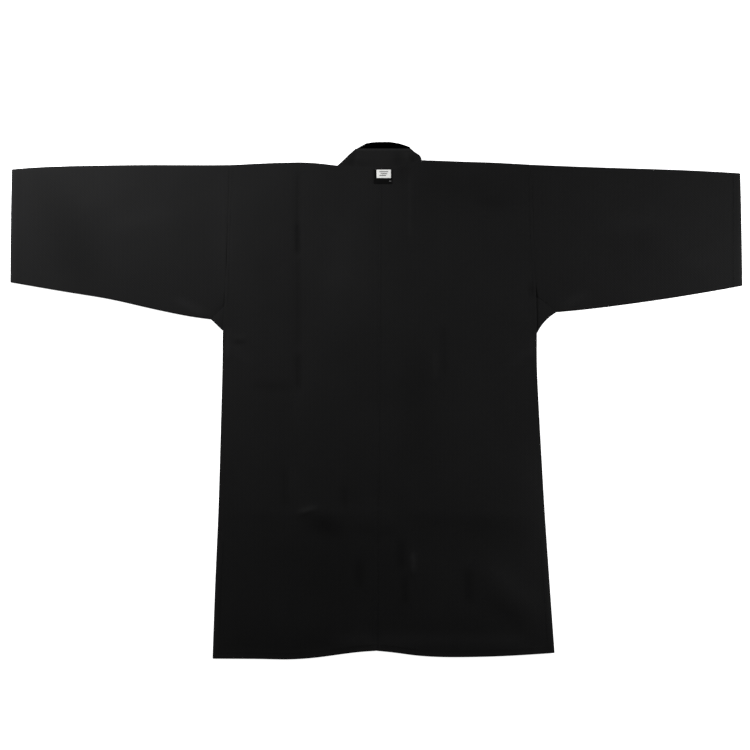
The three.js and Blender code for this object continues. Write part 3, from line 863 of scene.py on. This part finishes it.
class Surface:
    """The top of some pieces, on which other cloth or stitches lie"""

    START = 0.1

    def __init__(self, *names):
        depsgraph = bpy.context.evaluated_depsgraph_get()
        self.trees = [BVHTree.FromObject(bpy.data.objects[name], depsgraph) for name in names]

    def top(self, x, y):
        """The highest place there and the way up from it, or nothing"""
        best = None
        for tree in self.trees:
            place, normal, _, _ = tree.ray_cast(Vector((x, y, self.START)), Vector((0, 0, -1)))
            if place and (best is None or place.z > best[0].z):
                best = (place, normal)
        return best

    def height(self, x, y):
        found = self.top(x, y)
        return found[0].z if found else 0.0


def wear_near(reach):
    """How rubbed cloth is at some distances from an edge"""
    return np.exp(-((reach / WEAR_REACH) ** 2))


def mark(piece, worn, folds=0.0):
    """Stores how rubbed each point is, and how far it stands in a trough or on a ridge, which the material
    paints as shade in the trough and highlight on the ridge
    """
    for name, values in (("worn", worn), ("fold", np.clip(folds / CREASE_FULL_SHADE, -1.0, 1.0))):
        layer = piece.data.attributes.new(name, "FLOAT", "POINT")
        every = np.broadcast_to(np.asarray(values, dtype=np.float32), len(piece.data.vertices))
        layer.data.foreach_set("value", np.ascontiguousarray(every))


def material_for(context, name):
    sizes = context.scene.jacket_cloth
    colours = {
        "quilted_cotton": (sizes.cotton, sizes.worn),
        "collar_cotton": (sizes.cotton, sizes.worn),
        "tie_cotton": (sizes.cotton, sizes.worn),
        "inner_cotton": (sizes.inner, sizes.inner),
        "label_black": (sizes.label_black, sizes.label_black),
        "label_white": (sizes.label_white, sizes.label_white),
    }
    return cloth_material(name, *colours[name])


def finish_cloth(context, piece, node, name, wall, rim=RIM, offset=-1.0):
    """Turns a surface into cloth of even thickness with softened rims, which stands for its node"""
    solid = piece.modifiers.new("wall", "SOLIDIFY")
    solid.thickness = wall
    solid.offset = offset
    solid.use_even_offset = False
    soft = piece.modifiers.new("soft rim", "BEVEL")
    soft.width = rim
    soft.segments = 2
    soft.limit_method = "ANGLE"
    soft.angle_limit = RIM_ANGLE
    applied(piece)
    piece.data.shade_smooth()
    piece.data.materials.clear()
    piece.data.materials.append(material_for(context, name))
    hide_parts(node)


def turned_edge(points, line, sizes):
    """The rise of a turned hem along a line, with a soft step where it ends"""
    reach = line_reach(points, line)
    return sizes.hem_rise * (1 - fade(reach, sizes.hem - HEM_STEP, sizes.hem + HEM_STEP))


def seam_roll(points, line):
    """The dip of a seam that runs along the jacket, with small puckers beside it"""
    reach = line_reach(points, line)
    dip = SEAM_DEPTH * np.exp(-((reach / SEAM_ROLL) ** 2))
    waves = np.sin(points[:, 1] * 2 * math.pi / PUCKER_LENGTH + PUCKER_SLANT * points[:, 0])
    return PUCKER_HEIGHT * waves * np.exp(-((reach / PUCKER_REACH) ** 2)) - dip


def hem_lines(sides, node):
    """The foot of a panel and the edge of its side slit"""
    outer = sides["left" if node.endswith("left") else "right"]
    return sides["foot"], outer[outer[:, 1] < SLIT_TOP]


def make_panel(context, node, creases, seam=None, rumple=0.0, under=()):
    """A back or front panel: its hems stand up, its seam sinks and its creases run over it.

    Where something is under it, it stands a little off that, away from its outline. It never sinks into
    that or into the table.
    """
    sizes = context.scene.jacket_cloth
    mesh = upper_side(node)
    sides = outline_sides(mesh)
    piece = smooth_shell(node + "_cloth", mesh, sizes.levels)
    points = read_points(piece)
    x, y = points[:, 0], points[:, 1]
    inset = line_reach(points, *sides.values())
    hems = hem_lines(sides, node)
    folds = crease_height(creases, x, y)
    rise = (folds + rumple_height(x, y) * rumple) * fade(inset, 0.0, PANEL_EDGE)
    if under:
        rise += LOFT * fade(inset, 0.0, LOFT_EDGE)
    rise += np.max([turned_edge(points, line, sizes) for line in hems], axis=0)
    if seam:
        rise += seam_roll(points, sides[seam])
    rest = Surface(*under)
    lowest = np.array([rest.height(*place) for place in points[:, :2]]) + sizes.wall + CLEARANCE
    worn = wear_near(line_reach(points, *hems))
    points[:, 2] = np.maximum(points[:, 2] + rise, lowest)
    write_points(piece, points)
    mark(piece, worn, folds)
    finish_cloth(context, piece, node, "quilted_cotton", sizes.wall)


def along_table(table, values):
    """The numbers of a table in millimetres at each of some values in metres, in metres"""
    return np.interp(values, *(np.array(table) * MM).T)


def ordered(line, axis):
    return line if line[0][axis] < line[-1][axis] else line[::-1]


def line_height(line, x):
    """How far along the jacket a line from side to side lies at each X"""
    return np.interp(x, *ordered(line, 0)[:, :2].T)


def make_band(context, node, name, wall, rises=None):
    """A strip or patch of cloth with softened edges. Its upper edge may stand higher than its solid's."""
    mesh = upper_side(node)
    sides = outline_sides(mesh)
    piece = smooth_shell(node + "_cloth", mesh, context.scene.jacket_cloth.levels, 0.0)
    points = read_points(piece)
    mark(piece, wear_near(line_reach(points, *sides.values())))
    if rises:
        foot, top = (line_height(sides[edge], points[:, 0]) for edge in ("foot", "top"))
        share = np.clip((points[:, 1] - foot) / (top - foot), 0.0, 1.0)
        points[:, 1] += along_table(rises, points[:, 0]) * share
        write_points(piece, points)
    finish_cloth(context, piece, node, name, wall, wall * RIM_SHARE)


def make_nape(context, node):
    """The collar's middle: its lower edge comes down to the back, and its upper edge is a rubbed fold,
    painted paler both as wear and as a highlight
    """
    sizes = context.scene.jacket_cloth
    mesh = upper_side(node)
    sides = outline_sides(mesh)
    piece = smooth_shell(node + "_cloth", mesh, sizes.levels)
    points = read_points(piece)
    x, y = points[:, 0], points[:, 1]
    left_end = 1 - fade(line_reach(points, sides["left"]), 0.0, NAPE_END)
    backs = Surface("back_left_cloth", "back_right_cloth")
    foot = line_height(sides["foot"], x) - NAPE_OVERLAP
    below = np.array([backs.height(*place) for place in zip(x, foot)])
    near = 1 - fade(line_reach(points, sides["foot"]), 0.0, NAPE_RUN)
    points[:, 2] += np.minimum(below - points[:, 2], 0.0) * near
    folds = crease_height(COLLAR_CREASES, x, y)
    inset = line_reach(points, sides["top"])
    points[:, 2] += (folds + rumple_height(x, y) / 2) * fade(inset, 0.0, NAPE_EDGE)
    points[:, 0] -= along_table(NAPE_SPREAD, y) * left_end
    write_points(piece, points)
    # Paler along the top edge: rubbed wear and a painted highlight along the fold
    mark(piece, wear_near(inset), folds)
    finish_cloth(context, piece, node, "collar_cotton", sizes.band_wall)


def make_patch(context, node, name, under, inset, drop):
    """A part of the label, laid on the cloth that is under it, with its upper edge a little lower"""
    sizes = context.scene.jacket_cloth
    piece = smooth_shell(node + "_cloth", upper_side(node), sizes.levels, -inset)
    points = read_points(piece)
    foot, top = points[:, 1].min(), points[:, 1].max()
    points[:, 1] -= drop * (points[:, 1] - foot) / (top - foot)
    surface = Surface(*under)
    rise = sizes.label_wall + LABEL_CLEARANCE
    points[:, 2] = [surface.height(*place) + rise for place in points[:, :2]]
    write_points(piece, points)
    mark(piece, 0.0)
    finish_cloth(context, piece, node, name, sizes.label_wall, rim=sizes.label_wall * LABEL_RIM_SHARE)


def cuff_of(node):
    """Where a sleeve's cuff lies along X, and which way the sleeve runs from it"""
    low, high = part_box(node)
    return (low[0], 1) if node.endswith("left") else (high[0], -1)


def make_sleeve(context, node):
    """A sleeve, which lies flat as two leaves joined by a round fold at each long edge"""
    sizes = context.scene.jacket_cloth
    piece = smooth_shell(node + "_cloth", outside(node), sizes.levels, keep=keep_bends)
    points = read_points(piece)
    normals = read_points(piece, "normal")
    upward = np.clip(normals[:, 2], 0.0, 1.0)
    x, y = points[:, 0], points[:, 1]
    from_cuff = np.abs(x - cuff_of(node)[0])
    flat = fade(upward, *CREASE_FACES)
    folds = crease_height(BACK_CREASES, x, y)
    rise = (folds + rumple_height(x, y)) * fade(from_cuff, 0.0, CUFF_EDGE)
    band = sizes.hem_rise * (1 - fade(from_cuff, *CUFF_HEM))
    points[:, 2] += (rise + band) * flat
    points[:, :2] += normals[:, :2] * FOLD_SPREAD
    write_points(piece, points)
    folded = 1 - fade(upward, *WORN_FACES)
    worn = np.maximum(folded * (points[:, 2] > WORN_FOOT), wear_near(from_cuff))
    mark(piece, worn, folds * flat)
    finish_cloth(context, piece, node, "quilted_cotton", sizes.wall)


class Gusset(NamedTuple):
    """The corners of a folded gusset in millimetres, how far its fold bows in, and its height"""

    armpit: tuple
    tip: tuple
    top: tuple
    bow: float
    height: float


GUSSETS = {
    "gusset_left": Gusset((-268.5, 122), (-289, 142), (-265, 165), 0.0, 4.3),
    "gusset_right": Gusset((280.5, 117), (315, 154.5), (279, 181), -4.0, 5.0),
}
# How far a leaf reaches under the jacket in millimetres, the part of its width that the fold may take up, and
# the part of the wall by which the fold is drawn in
GUSSET_TUCK = 1.2
GUSSET_ROUND = 0.4
GUSSET_DRAW = 1 / 3
# How high the fold's ends are as a share of its middle, and how close to them the first and last rows lie
GUSSET_END = 0.7
GUSSET_MARGIN = 0.015
GUSSET_ROWS = 28
GUSSET_ARC = 6
GUSSET_LEAF = 8


def gusset_row(shape, t, wall):
    """One row of a gusset, from the edge of its lower leaf round the fold to that of its upper leaf"""
    armpit, tip, top = (np.array(place, dtype=float) for place in (shape.armpit, shape.tip, shape.top))
    step = tip - armpit
    aside = np.array([step[1], -step[0]]) / np.hypot(*step)
    fold = armpit + t * step + 4 * t * (1 - t) * shape.bow * aside
    edge = armpit + 2 * t * (top - armpit) if t < 0.5 else top + (2 * t - 1) * (tip - top)
    inward = (edge - fold) / np.hypot(*(edge - fold))
    width = np.hypot(*(edge - fold)) + GUSSET_TUCK
    height = shape.height * (GUSSET_END + (1 - GUSSET_END) * math.sin(math.pi * t))
    low, high = wall / 2 + CLEARANCE / MM, height - wall / 2
    middle, half = (low + high) / 2, (high - low) / 2
    reach = min(half, width * GUSSET_ROUND)
    row = [(width - (width - reach) * k / GUSSET_LEAF, low) for k in range(GUSSET_LEAF)]
    for k in range(GUSSET_ARC + 1):
        angle = math.pi * (k / GUSSET_ARC - 0.5)
        row.append((reach * (1 - math.cos(angle)), middle + half * math.sin(angle)))
    row += [(reach + (width - reach) * (k + 1) / GUSSET_LEAF, high) for k in range(GUSSET_LEAF)]
    return [(*(fold + inward * (share + wall * GUSSET_DRAW)), z) for share, z in row]


def make_gusset(context, node):
    """A small square of cloth, folded corner to corner in the armpit"""
    wall = context.scene.jacket_cloth.wall
    places = np.linspace(GUSSET_MARGIN, 1 - GUSSET_MARGIN, GUSSET_ROWS)
    rows = [gusset_row(GUSSETS[node], t, wall / MM) for t in places]
    points = np.array(rows).reshape(-1, 3) * MM
    around = len(rows[0])
    starts = [k * around + j for k in range(GUSSET_ROWS - 1) for j in range(around - 1)]
    faces = [(a, a + 1, a + around + 1, a + around) for a in starts]
    data = bpy.data.meshes.new(node)
    data.from_pydata(points.tolist(), [], faces)
    data.update()
    piece = new_piece(node + "_cloth", data)
    mark(piece, 0.0)
    finish_cloth(context, piece, node, "quilted_cotton", wall, offset=0.0)


# One stitch: a short round thread whose ends go down into the cloth. Lengths are shares of the stitch's, and
# heights are shares of the thread's width.
RING = 6
STATIONS = (-0.5, -0.36, 0.0, 0.36, 0.5)
STITCH_TIP = 0.54
TIP_DEPTH = 0.6
CROWN = 0.28
SINKING = 0.62
NARROWING = 0.45


def stitch_form(length, thread):
    """Points and faces of one stitch along +X, on cloth at the height 0"""
    points = [(-STITCH_TIP * length, 0.0, -TIP_DEPTH * thread)]
    for share in STATIONS:
        sunk = (2 * share) ** 4
        radius = thread / 2 * (1 - NARROWING * sunk)
        centre = thread * (CROWN - SINKING * sunk)
        for turn in range(RING):
            angle = 2 * math.pi * turn / RING
            points.append((share * length, radius * math.cos(angle), centre + radius * math.sin(angle)))
    points.append((STITCH_TIP * length, 0.0, -TIP_DEPTH * thread))
    last = len(points) - 1
    faces = []
    for turn in range(RING):
        after = (turn + 1) % RING
        faces.append((0, 1 + after, 1 + turn))
        faces.append((last, last - RING + turn, last - RING + after))
        for row in range(len(STATIONS) - 1):
            a = 1 + row * RING
            faces.append((a + turn, a + after, a + RING + after, a + RING + turn))
    return np.array(points), faces


def sew(name, seats, thread, material):
    """Many stitches as one mesh. A seat is a stitch's middle, direction, upward normal and length."""
    if not seats:
        raise RuntimeError(f"{name} has no stitches")
    points = []
    faces = []
    for number, (middle, ahead, up, length) in enumerate(seats):
        form, form_faces = stitch_form(length, thread)
        side = up.cross(ahead).normalized()
        axes = np.array([ahead.normalized(), side, ahead.normalized().cross(side)])
        points.append(form @ axes + np.array(middle))
        faces.extend(tuple(number * len(form) + corner for corner in face) for face in form_faces)
    data = bpy.data.meshes.new(name)
    data.from_pydata(np.concatenate(points).tolist(), [], faces)
    data.update()
    data.shade_smooth()
    data.materials.append(material)
    piece = new_piece(name, data)


def resample(line, pitch):
    """Places at an even pitch along a line of points, with the line's direction there"""
    steps = np.hypot(*np.diff(line[:, :2], axis=0).T)
    length = np.concatenate([[0.0], np.cumsum(steps)])
    count = max(int(length[-1] / pitch), 1)
    at = (np.arange(count) + 0.5) * length[-1] / count

    def places(ahead):
        return np.stack([np.interp(at + ahead, length, line[:, k]) for k in (0, 1)], axis=1)

    return zip(places(0.0), places(MM) - places(-MM))


def beside(line, distance):
    """A line of points moved to its left by a distance"""
    flat = line[:, :2]
    ahead = np.gradient(flat, axis=0)
    ahead /= np.hypot(*ahead.T)[:, None]
    return flat + distance * np.stack([-ahead[:, 1], ahead[:, 0]], axis=1)


# Cloth whose normal rises less than this turns down too much for a stitch
FLATTEST = 0.8


def seats_along(surface, line, sewing):
    """Seats for a row of stitches along a line, on top of a surface"""
    seats = []
    for place, ahead in resample(line, sewing.stitch + sewing.gap):
        found = surface.top(*place)
        if found is None or found[1].z < FLATTEST:
            continue
        middle, up = found
        direction = Vector((*ahead, 0.0)).normalized()
        direction -= up * direction.dot(up)
        seats.append((middle, direction, up, sewing.stitch))
    return seats


# What the back lies on
BACK_REST = ("front_left_cloth", "front_right_cloth", "collar_left_cloth", "collar_right_cloth")


class JACKET_OT_backs(bpy.types.Operator):
    """Make the two halves of the back"""

    bl_idname = "jacket.backs"
    bl_label = "Backs"

    def execute(self, context):
        for node, middle in (("back_left", "right"), ("back_right", "left")):
            make_panel(context, node, BACK_CREASES, middle, 1.0, BACK_REST)
        return {"FINISHED"}


class JACKET_OT_fronts(bpy.types.Operator):
    """Make the two fronts and the collar along them, which lie under the back"""

    bl_idname = "jacket.fronts"
    bl_label = "Fronts"

    def execute(self, context):
        for node in ("front_left", "front_right"):
            make_panel(context, node, FRONT_CREASES)
        for node in ("collar_left", "collar_right"):
            make_band(context, node, "collar_cotton", context.scene.jacket_cloth.band_wall)
        return {"FINISHED"}


class JACKET_OT_collar(bpy.types.Operator):
    """Make the collar's nape and the inner leaf behind the neck, whose near-black colour is painted shade"""

    bl_idname = "jacket.collar"
    bl_label = "Collar"

    def execute(self, context):
        wall = context.scene.jacket_cloth.wall
        make_nape(context, "collar_nape")
        make_band(context, "collar_nape_inner", "inner_cotton", wall, rises=LEAF_RISE)
        return {"FINISHED"}


class JACKET_OT_sleeves(bpy.types.Operator):
    """Make the sleeves and the gussets in the armpits"""

    bl_idname = "jacket.sleeves"
    bl_label = "Sleeves"

    def execute(self, context):
        for side in ("left", "right"):
            make_sleeve(context, "sleeve_" + side)
            make_gusset(context, "gusset_" + side)
        return {"FINISHED"}


class JACKET_OT_ties(bpy.types.Operator):
    """Make the outer pair of chest ties"""

    bl_idname = "jacket.ties"
    bl_label = "Ties"

    def execute(self, context):
        for node in ("tie_left", "tie_right"):
            make_band(context, node, "tie_cotton", context.scene.jacket_cloth.tie_wall)
        return {"FINISHED"}


class Bar(NamedTuple):
    """A plain bar of stitches: what it is sewn on, its height and ends as shares of that, and its pitch"""

    node: str
    height: float
    start: float
    end: float
    pitch: float


BARS = (
    Bar("label_field", 0.66, 0.22, 0.80, 0.42 * MM),
    Bar("label_field", 0.46, 0.30, 0.72, 0.42 * MM),
    Bar("label_field", 0.28, 0.22, 0.64, 0.42 * MM),
    Bar("label", 0.18, 0.85, 0.94, 0.90 * MM),
)
BAR_STITCH = 2.0 * MM
BAR_THREAD = 0.4 * MM

# How far the label's parts are drawn in from their solids, and how far their upper edges are lowered
PATCH_INSET, PATCH_DROP = 0.2 * MM, 1.2 * MM
FIELD_INSET, FIELD_DROP = 0.5 * MM, 1.8 * MM


def bar_seats(bar):
    """Seats for the stitches of a bar, side by side"""
    low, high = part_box(bar.node)
    surface = Surface(bar.node + "_cloth")
    y = low[1] + bar.height * (high[1] - low[1])
    x = low[0] + bar.start * (high[0] - low[0])
    seats = []
    while x < low[0] + bar.end * (high[0] - low[0]):
        seats.append((*surface.top(x, y), BAR_STITCH))
        x += bar.pitch
    return [(middle, Vector((0, 1, 0)), up, length) for middle, up, length in seats]


class JACKET_OT_label(bpy.types.Operator):
    """Make the label's patch, its pale field and the plain bars sewn on it"""

    bl_idname = "jacket.label"
    bl_label = "Label"

    def execute(self, context):
        backs = ("back_left_cloth", "back_right_cloth")
        make_patch(context, "label", "label_black", backs, PATCH_INSET, PATCH_DROP)
        make_patch(context, "label_field", "label_white", ("label_cloth",), FIELD_INSET, FIELD_DROP)
        material = thread_material("mark_thread", context.scene.jacket_cloth.mark)
        seats = [seat for bar in BARS for seat in bar_seats(bar)]
        sew("label_bars", seats, BAR_THREAD, material)
        return {"FINISHED"}


# How far in from its edge each row of stitches lies. A hem's row lies this far inside its inner edge.
HEM_ROW = 1.5 * MM
MIDDLE_ROW = 3 * MM
ARMHOLE_ROW = 5 * MM
CUFF_ROW = 15 * MM
NAPE_FOOT_ROW = 3 * MM
NAPE_TOP_ROW = 4 * MM
LABEL_ROW = 1.2 * MM
# The armholes end at this height along the jacket, and the label is sewn with thinner thread
ARMHOLE_FOOT = 160 * MM
LABEL_THREAD = 0.8


def sides_of(node):
    """The four sides of a sheet, each from left to right or from foot to top"""
    mesh = upper_side(node)
    sides = outline_sides(mesh)
    mesh.free()
    return {name: ordered(line, 0 if name in ("foot", "top") else 1) for name, line in sides.items()}


def sew_back(context, side, material):
    """The rows on one half of the back: its hems, the middle seam on the right half, and the armhole"""
    sewing = context.scene.jacket_sewing
    node = "back_" + side
    sides = sides_of(node)
    surface = Surface(node + "_cloth")
    outer = sides[side]
    inward = -1 if side == "left" else 1

    def row(line, distance):
        return seats_along(surface, beside(line, distance), sewing)

    edge = context.scene.jacket_cloth.hem - HEM_ROW
    seats = row(sides["foot"], edge) + row(outer[outer[:, 1] < SLIT_TOP], inward * edge)
    sew(f"hem_stitches_{side}", seats, sewing.thread, material)
    if side == "right":
        sew("middle_stitches", row(sides["left"], -MIDDLE_ROW), sewing.thread, material)
    seats = row(outer[outer[:, 1] > ARMHOLE_FOOT], inward * ARMHOLE_ROW)
    sew(f"armhole_stitches_{side}", seats, sewing.thread, material)


def sew_cuff(context, side, material):
    """The row across a cuff, on the sleeve's upper leaf"""
    sewing = context.scene.jacket_sewing
    node = "sleeve_" + side
    low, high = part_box(node)
    cuff, inward = cuff_of(node)
    x = cuff + inward * CUFF_ROW
    seats = seats_along(Surface(node + "_cloth"), np.array([[x, low[1]], [x, high[1]]]), sewing)
    sew(f"cuff_stitches_{side}", seats, sewing.thread, material)


def sew_nape(context, material):
    """The rows along the nape's lower and upper edges"""
    sewing = context.scene.jacket_sewing
    sides = sides_of("collar_nape")
    surface = Surface("collar_nape_cloth")
    seats = seats_along(surface, beside(sides["foot"], NAPE_FOOT_ROW), sewing)
    seats += seats_along(surface, beside(sides["top"], -NAPE_TOP_ROW), sewing)
    sew("nape_stitches", seats, sewing.thread, material)


def sew_label(context, material):
    """The row round the label"""
    sewing = context.scene.jacket_sewing
    low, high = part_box("label")
    x0, x1 = low[0] + LABEL_ROW, high[0] - LABEL_ROW
    y0, y1 = low[1] + LABEL_ROW, high[1] - LABEL_ROW
    corners = [(x0, y0), (x1, y0), (x1, y1), (x0, y1)]
    surface = Surface("label_cloth", "label_field_cloth")
    seats = []
    for line in zip(corners, corners[1:] + corners[:1]):
        seats += seats_along(surface, np.array(line), sewing)
    sew("label_stitches", seats, sewing.thread * LABEL_THREAD, material)


class JACKET_OT_sewing(bpy.types.Operator):
    """Sew the hems, cuffs, seams, nape and label with rows of stitches"""

    bl_idname = "jacket.sewing"
    bl_label = "Sewing"

    def execute(self, context):
        material = thread_material("black_thread", context.scene.jacket_sewing.colour)
        for side in ("left", "right"):
            sew_back(context, side, material)
            sew_cuff(context, side, material)
        sew_nape(context, material)
        sew_label(context, material)
        return {"FINISHED"}


class Cut(NamedTuple):
    """The size that one piece of cloth was cut to, in metres and square metres"""

    width: float
    length: float
    area: float
    rests_on: tuple


CUTS = {
    "back_left": Cut(0.292, 0.868, 0.2356, ("front_left_cloth", "front_right_cloth")),
    "back_right": Cut(0.312, 0.868, 0.2441, ("front_left_cloth", "front_right_cloth")),
    "front_left": Cut(0.398, 0.866, 0.2746, ("floor",)),
    "front_right": Cut(0.413, 0.867, 0.2794, ("floor", "front_left_cloth")),
    "collar_left": Cut(0.050, 0.885, 0.0442, ("floor",)),
    "collar_right": Cut(0.050, 0.885, 0.0442, ("front_left_cloth",)),
    "collar_nape": Cut(0.147, 0.033, 0.0037, ("collar_nape_inner_cloth",)),
    "collar_nape_inner": Cut(0.114, 0.027, 0.0023, ("collar_left_cloth",)),
    "sleeve_left": Cut(0.540, 0.382, 0.1770, ("floor",)),
    "sleeve_right": Cut(0.500, 0.370, 0.1660, ("floor",)),
    "gusset_left": Cut(0.0286, 0.0665, 0.00095, ("floor",)),
    "gusset_right": Cut(0.051, 0.0888, 0.00199, ("floor",)),
    "tie_left": Cut(0.020, 0.305, 0.0061, ("floor",)),
    "tie_right": Cut(0.020, 0.301, 0.0060, ("floor",)),
    "label": Cut(0.032, 0.0275, 0.00088, ("back_left_cloth", "back_right_cloth")),
    "label_field": Cut(0.026, 0.0175, 0.000455, ("label_cloth",)),
}


class JACKET_OT_cuts(bpy.types.Operator):
    """Go through the size that each piece of cloth was cut to; nothing is made or set from it"""

    bl_idname = "jacket.cuts"
    bl_label = "Cut sizes"

    def execute(self, context):
        for node, cut in CUTS.items():
            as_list(cut.rests_on)
        return {"FINISHED"}


# The camera sees this much of the floor from side to side, with this place in the middle
VIEW_WIDTH = 1.3125
VIEW_MIDDLE = (-0.0023, 0.0446)
SENSOR = 36.0
KEY_PLACE = (-0.90, 0.80, 0.60)
FILL_PLACE = (1.30, 0.20, 0.50)
LIGHT_SIZE = 0.45
FLOOR_SIZE = 200.0
FLOOR_DROP = 0.2 * MM
WHITE = (1.0, 1.0, 1.0, 1.0)


def lay_floor(context):
    """A pale floor that glows a little, just under the jacket"""
    stage = context.scene.jacket_stage
    half = FLOOR_SIZE / 2
    corners = [(x * half, y * half, -FLOOR_DROP) for x, y in ((-1, -1), (1, -1), (1, 1), (-1, 1))]
    data = bpy.data.meshes.new("floor")
    data.from_pydata(corners, [], [(0, 1, 2, 3)])
    floor = bpy.data.objects.new("floor", data)
    context.scene.collection.objects.link(floor)
    inputs = {
        "Base Color": (*stage.floor, 1.0),
        "Roughness": 0.9,
        "Specular IOR Level": 0.0,
        "Emission Color": WHITE,
        "Emission Strength": stage.glow,
    }
    material, graph = new_material("pale_floor")
    add_surface(graph, inputs)
    data.materials.append(material)


def add_light(context, name, place, power):
    """A round, soft light that faces the middle of the jacket"""
    lamp = bpy.data.lights.new(name, "AREA")
    lamp.shape = "DISK"
    lamp.size = LIGHT_SIZE
    lamp.energy = power
    light = bpy.data.objects.new(name, lamp)
    light.location = place
    light.rotation_euler = (-Vector(place)).to_track_quat("-Z", "Y").to_euler()
    light.visible_camera = False
    context.scene.collection.objects.link(light)


def set_room(context):
    """A dim room that looks as pale as the floor"""
    air = context.scene.jacket_stage.air
    world = bpy.data.worlds.new("room")
    world.use_nodes = True
    graph = Graph(world.node_tree)
    seen = graph.add("ShaderNodeLightPath").outputs["Is Camera Ray"]
    strength = graph.math("MULTIPLY_ADD", seen, 1.0 - air, air)
    background = world.node_tree.nodes["Background"]
    background.inputs["Color"].default_value = WHITE
    graph.tree.links.new(strength, background.inputs["Strength"])
    context.scene.world = world
    context.scene.view_settings.view_transform = "Standard"


def aim_camera(context):
    """A camera that looks straight down"""
    height = context.scene.jacket_stage.height
    lens = bpy.data.cameras.new("camera")
    lens.sensor_width = SENSOR
    lens.lens = SENSOR * height / VIEW_WIDTH
    camera = bpy.data.objects.new("camera", lens)
    camera.location = (*VIEW_MIDDLE, height)
    context.scene.collection.objects.link(camera)
    context.scene.camera = camera


class JACKET_OT_stage(bpy.types.Operator):
    """Lay the floor and set up the lights and the camera"""

    bl_idname = "jacket.stage"
    bl_label = "Stage"

    def execute(self, context):
        stage = context.scene.jacket_stage
        lay_floor(context)
        add_light(context, "key_light", KEY_PLACE, stage.key)
        add_light(context, "fill_light", FILL_PLACE, stage.fill)
        set_room(context)
        aim_camera(context)
        return {"FINISHED"}


class JACKET_PT_pieces(bpy.types.Panel):
    """Lists the jacket's sizes and what makes its pieces"""

    bl_label = "Kendo jacket"
    bl_idname = "JACKET_PT_pieces"
    bl_space_type = "VIEW_3D"
    bl_region_type = "UI"
    bl_category = "Jacket"

    def draw(self, context):
        for group in (context.scene.jacket_cloth, context.scene.jacket_sewing, context.scene.jacket_stage):
            box = self.layout.box()
            for name in group.__annotations__:
                box.prop(group, name)
        for operator in OPERATORS:
            self.layout.operator(operator.bl_idname)


GROUPS = {"jacket_cloth": ClothSizes, "jacket_sewing": SewingSizes, "jacket_stage": StageSizes}
OPERATORS = (
    JACKET_OT_fronts,
    JACKET_OT_backs,
    JACKET_OT_collar,
    JACKET_OT_sleeves,
    JACKET_OT_ties,
    JACKET_OT_label,
    JACKET_OT_sewing,
    JACKET_OT_stage,
    JACKET_OT_cuts,
)


def register():
    for group in GROUPS.values():
        bpy.utils.register_class(group)
    for name, group in GROUPS.items():
        setattr(bpy.types.Scene, name, PointerProperty(type=group))
    for operator in OPERATORS:
        bpy.utils.register_class(operator)
    bpy.utils.register_class(JACKET_PT_pieces)


def unregister():
    bpy.utils.unregister_class(JACKET_PT_pieces)
    for operator in reversed(OPERATORS):
        bpy.utils.unregister_class(operator)
    for name, group in GROUPS.items():
        delattr(bpy.types.Scene, name)
        bpy.utils.unregister_class(group)


def main():
    register()
    bpy.ops.jacket.fronts()
    bpy.ops.jacket.backs()
    bpy.ops.jacket.collar()
    bpy.ops.jacket.sleeves()
    bpy.ops.jacket.ties()
    bpy.ops.jacket.label()
    bpy.ops.jacket.sewing()
    bpy.ops.jacket.stage()
    bpy.ops.jacket.cuts()


if __name__ == "__main__":
    main()
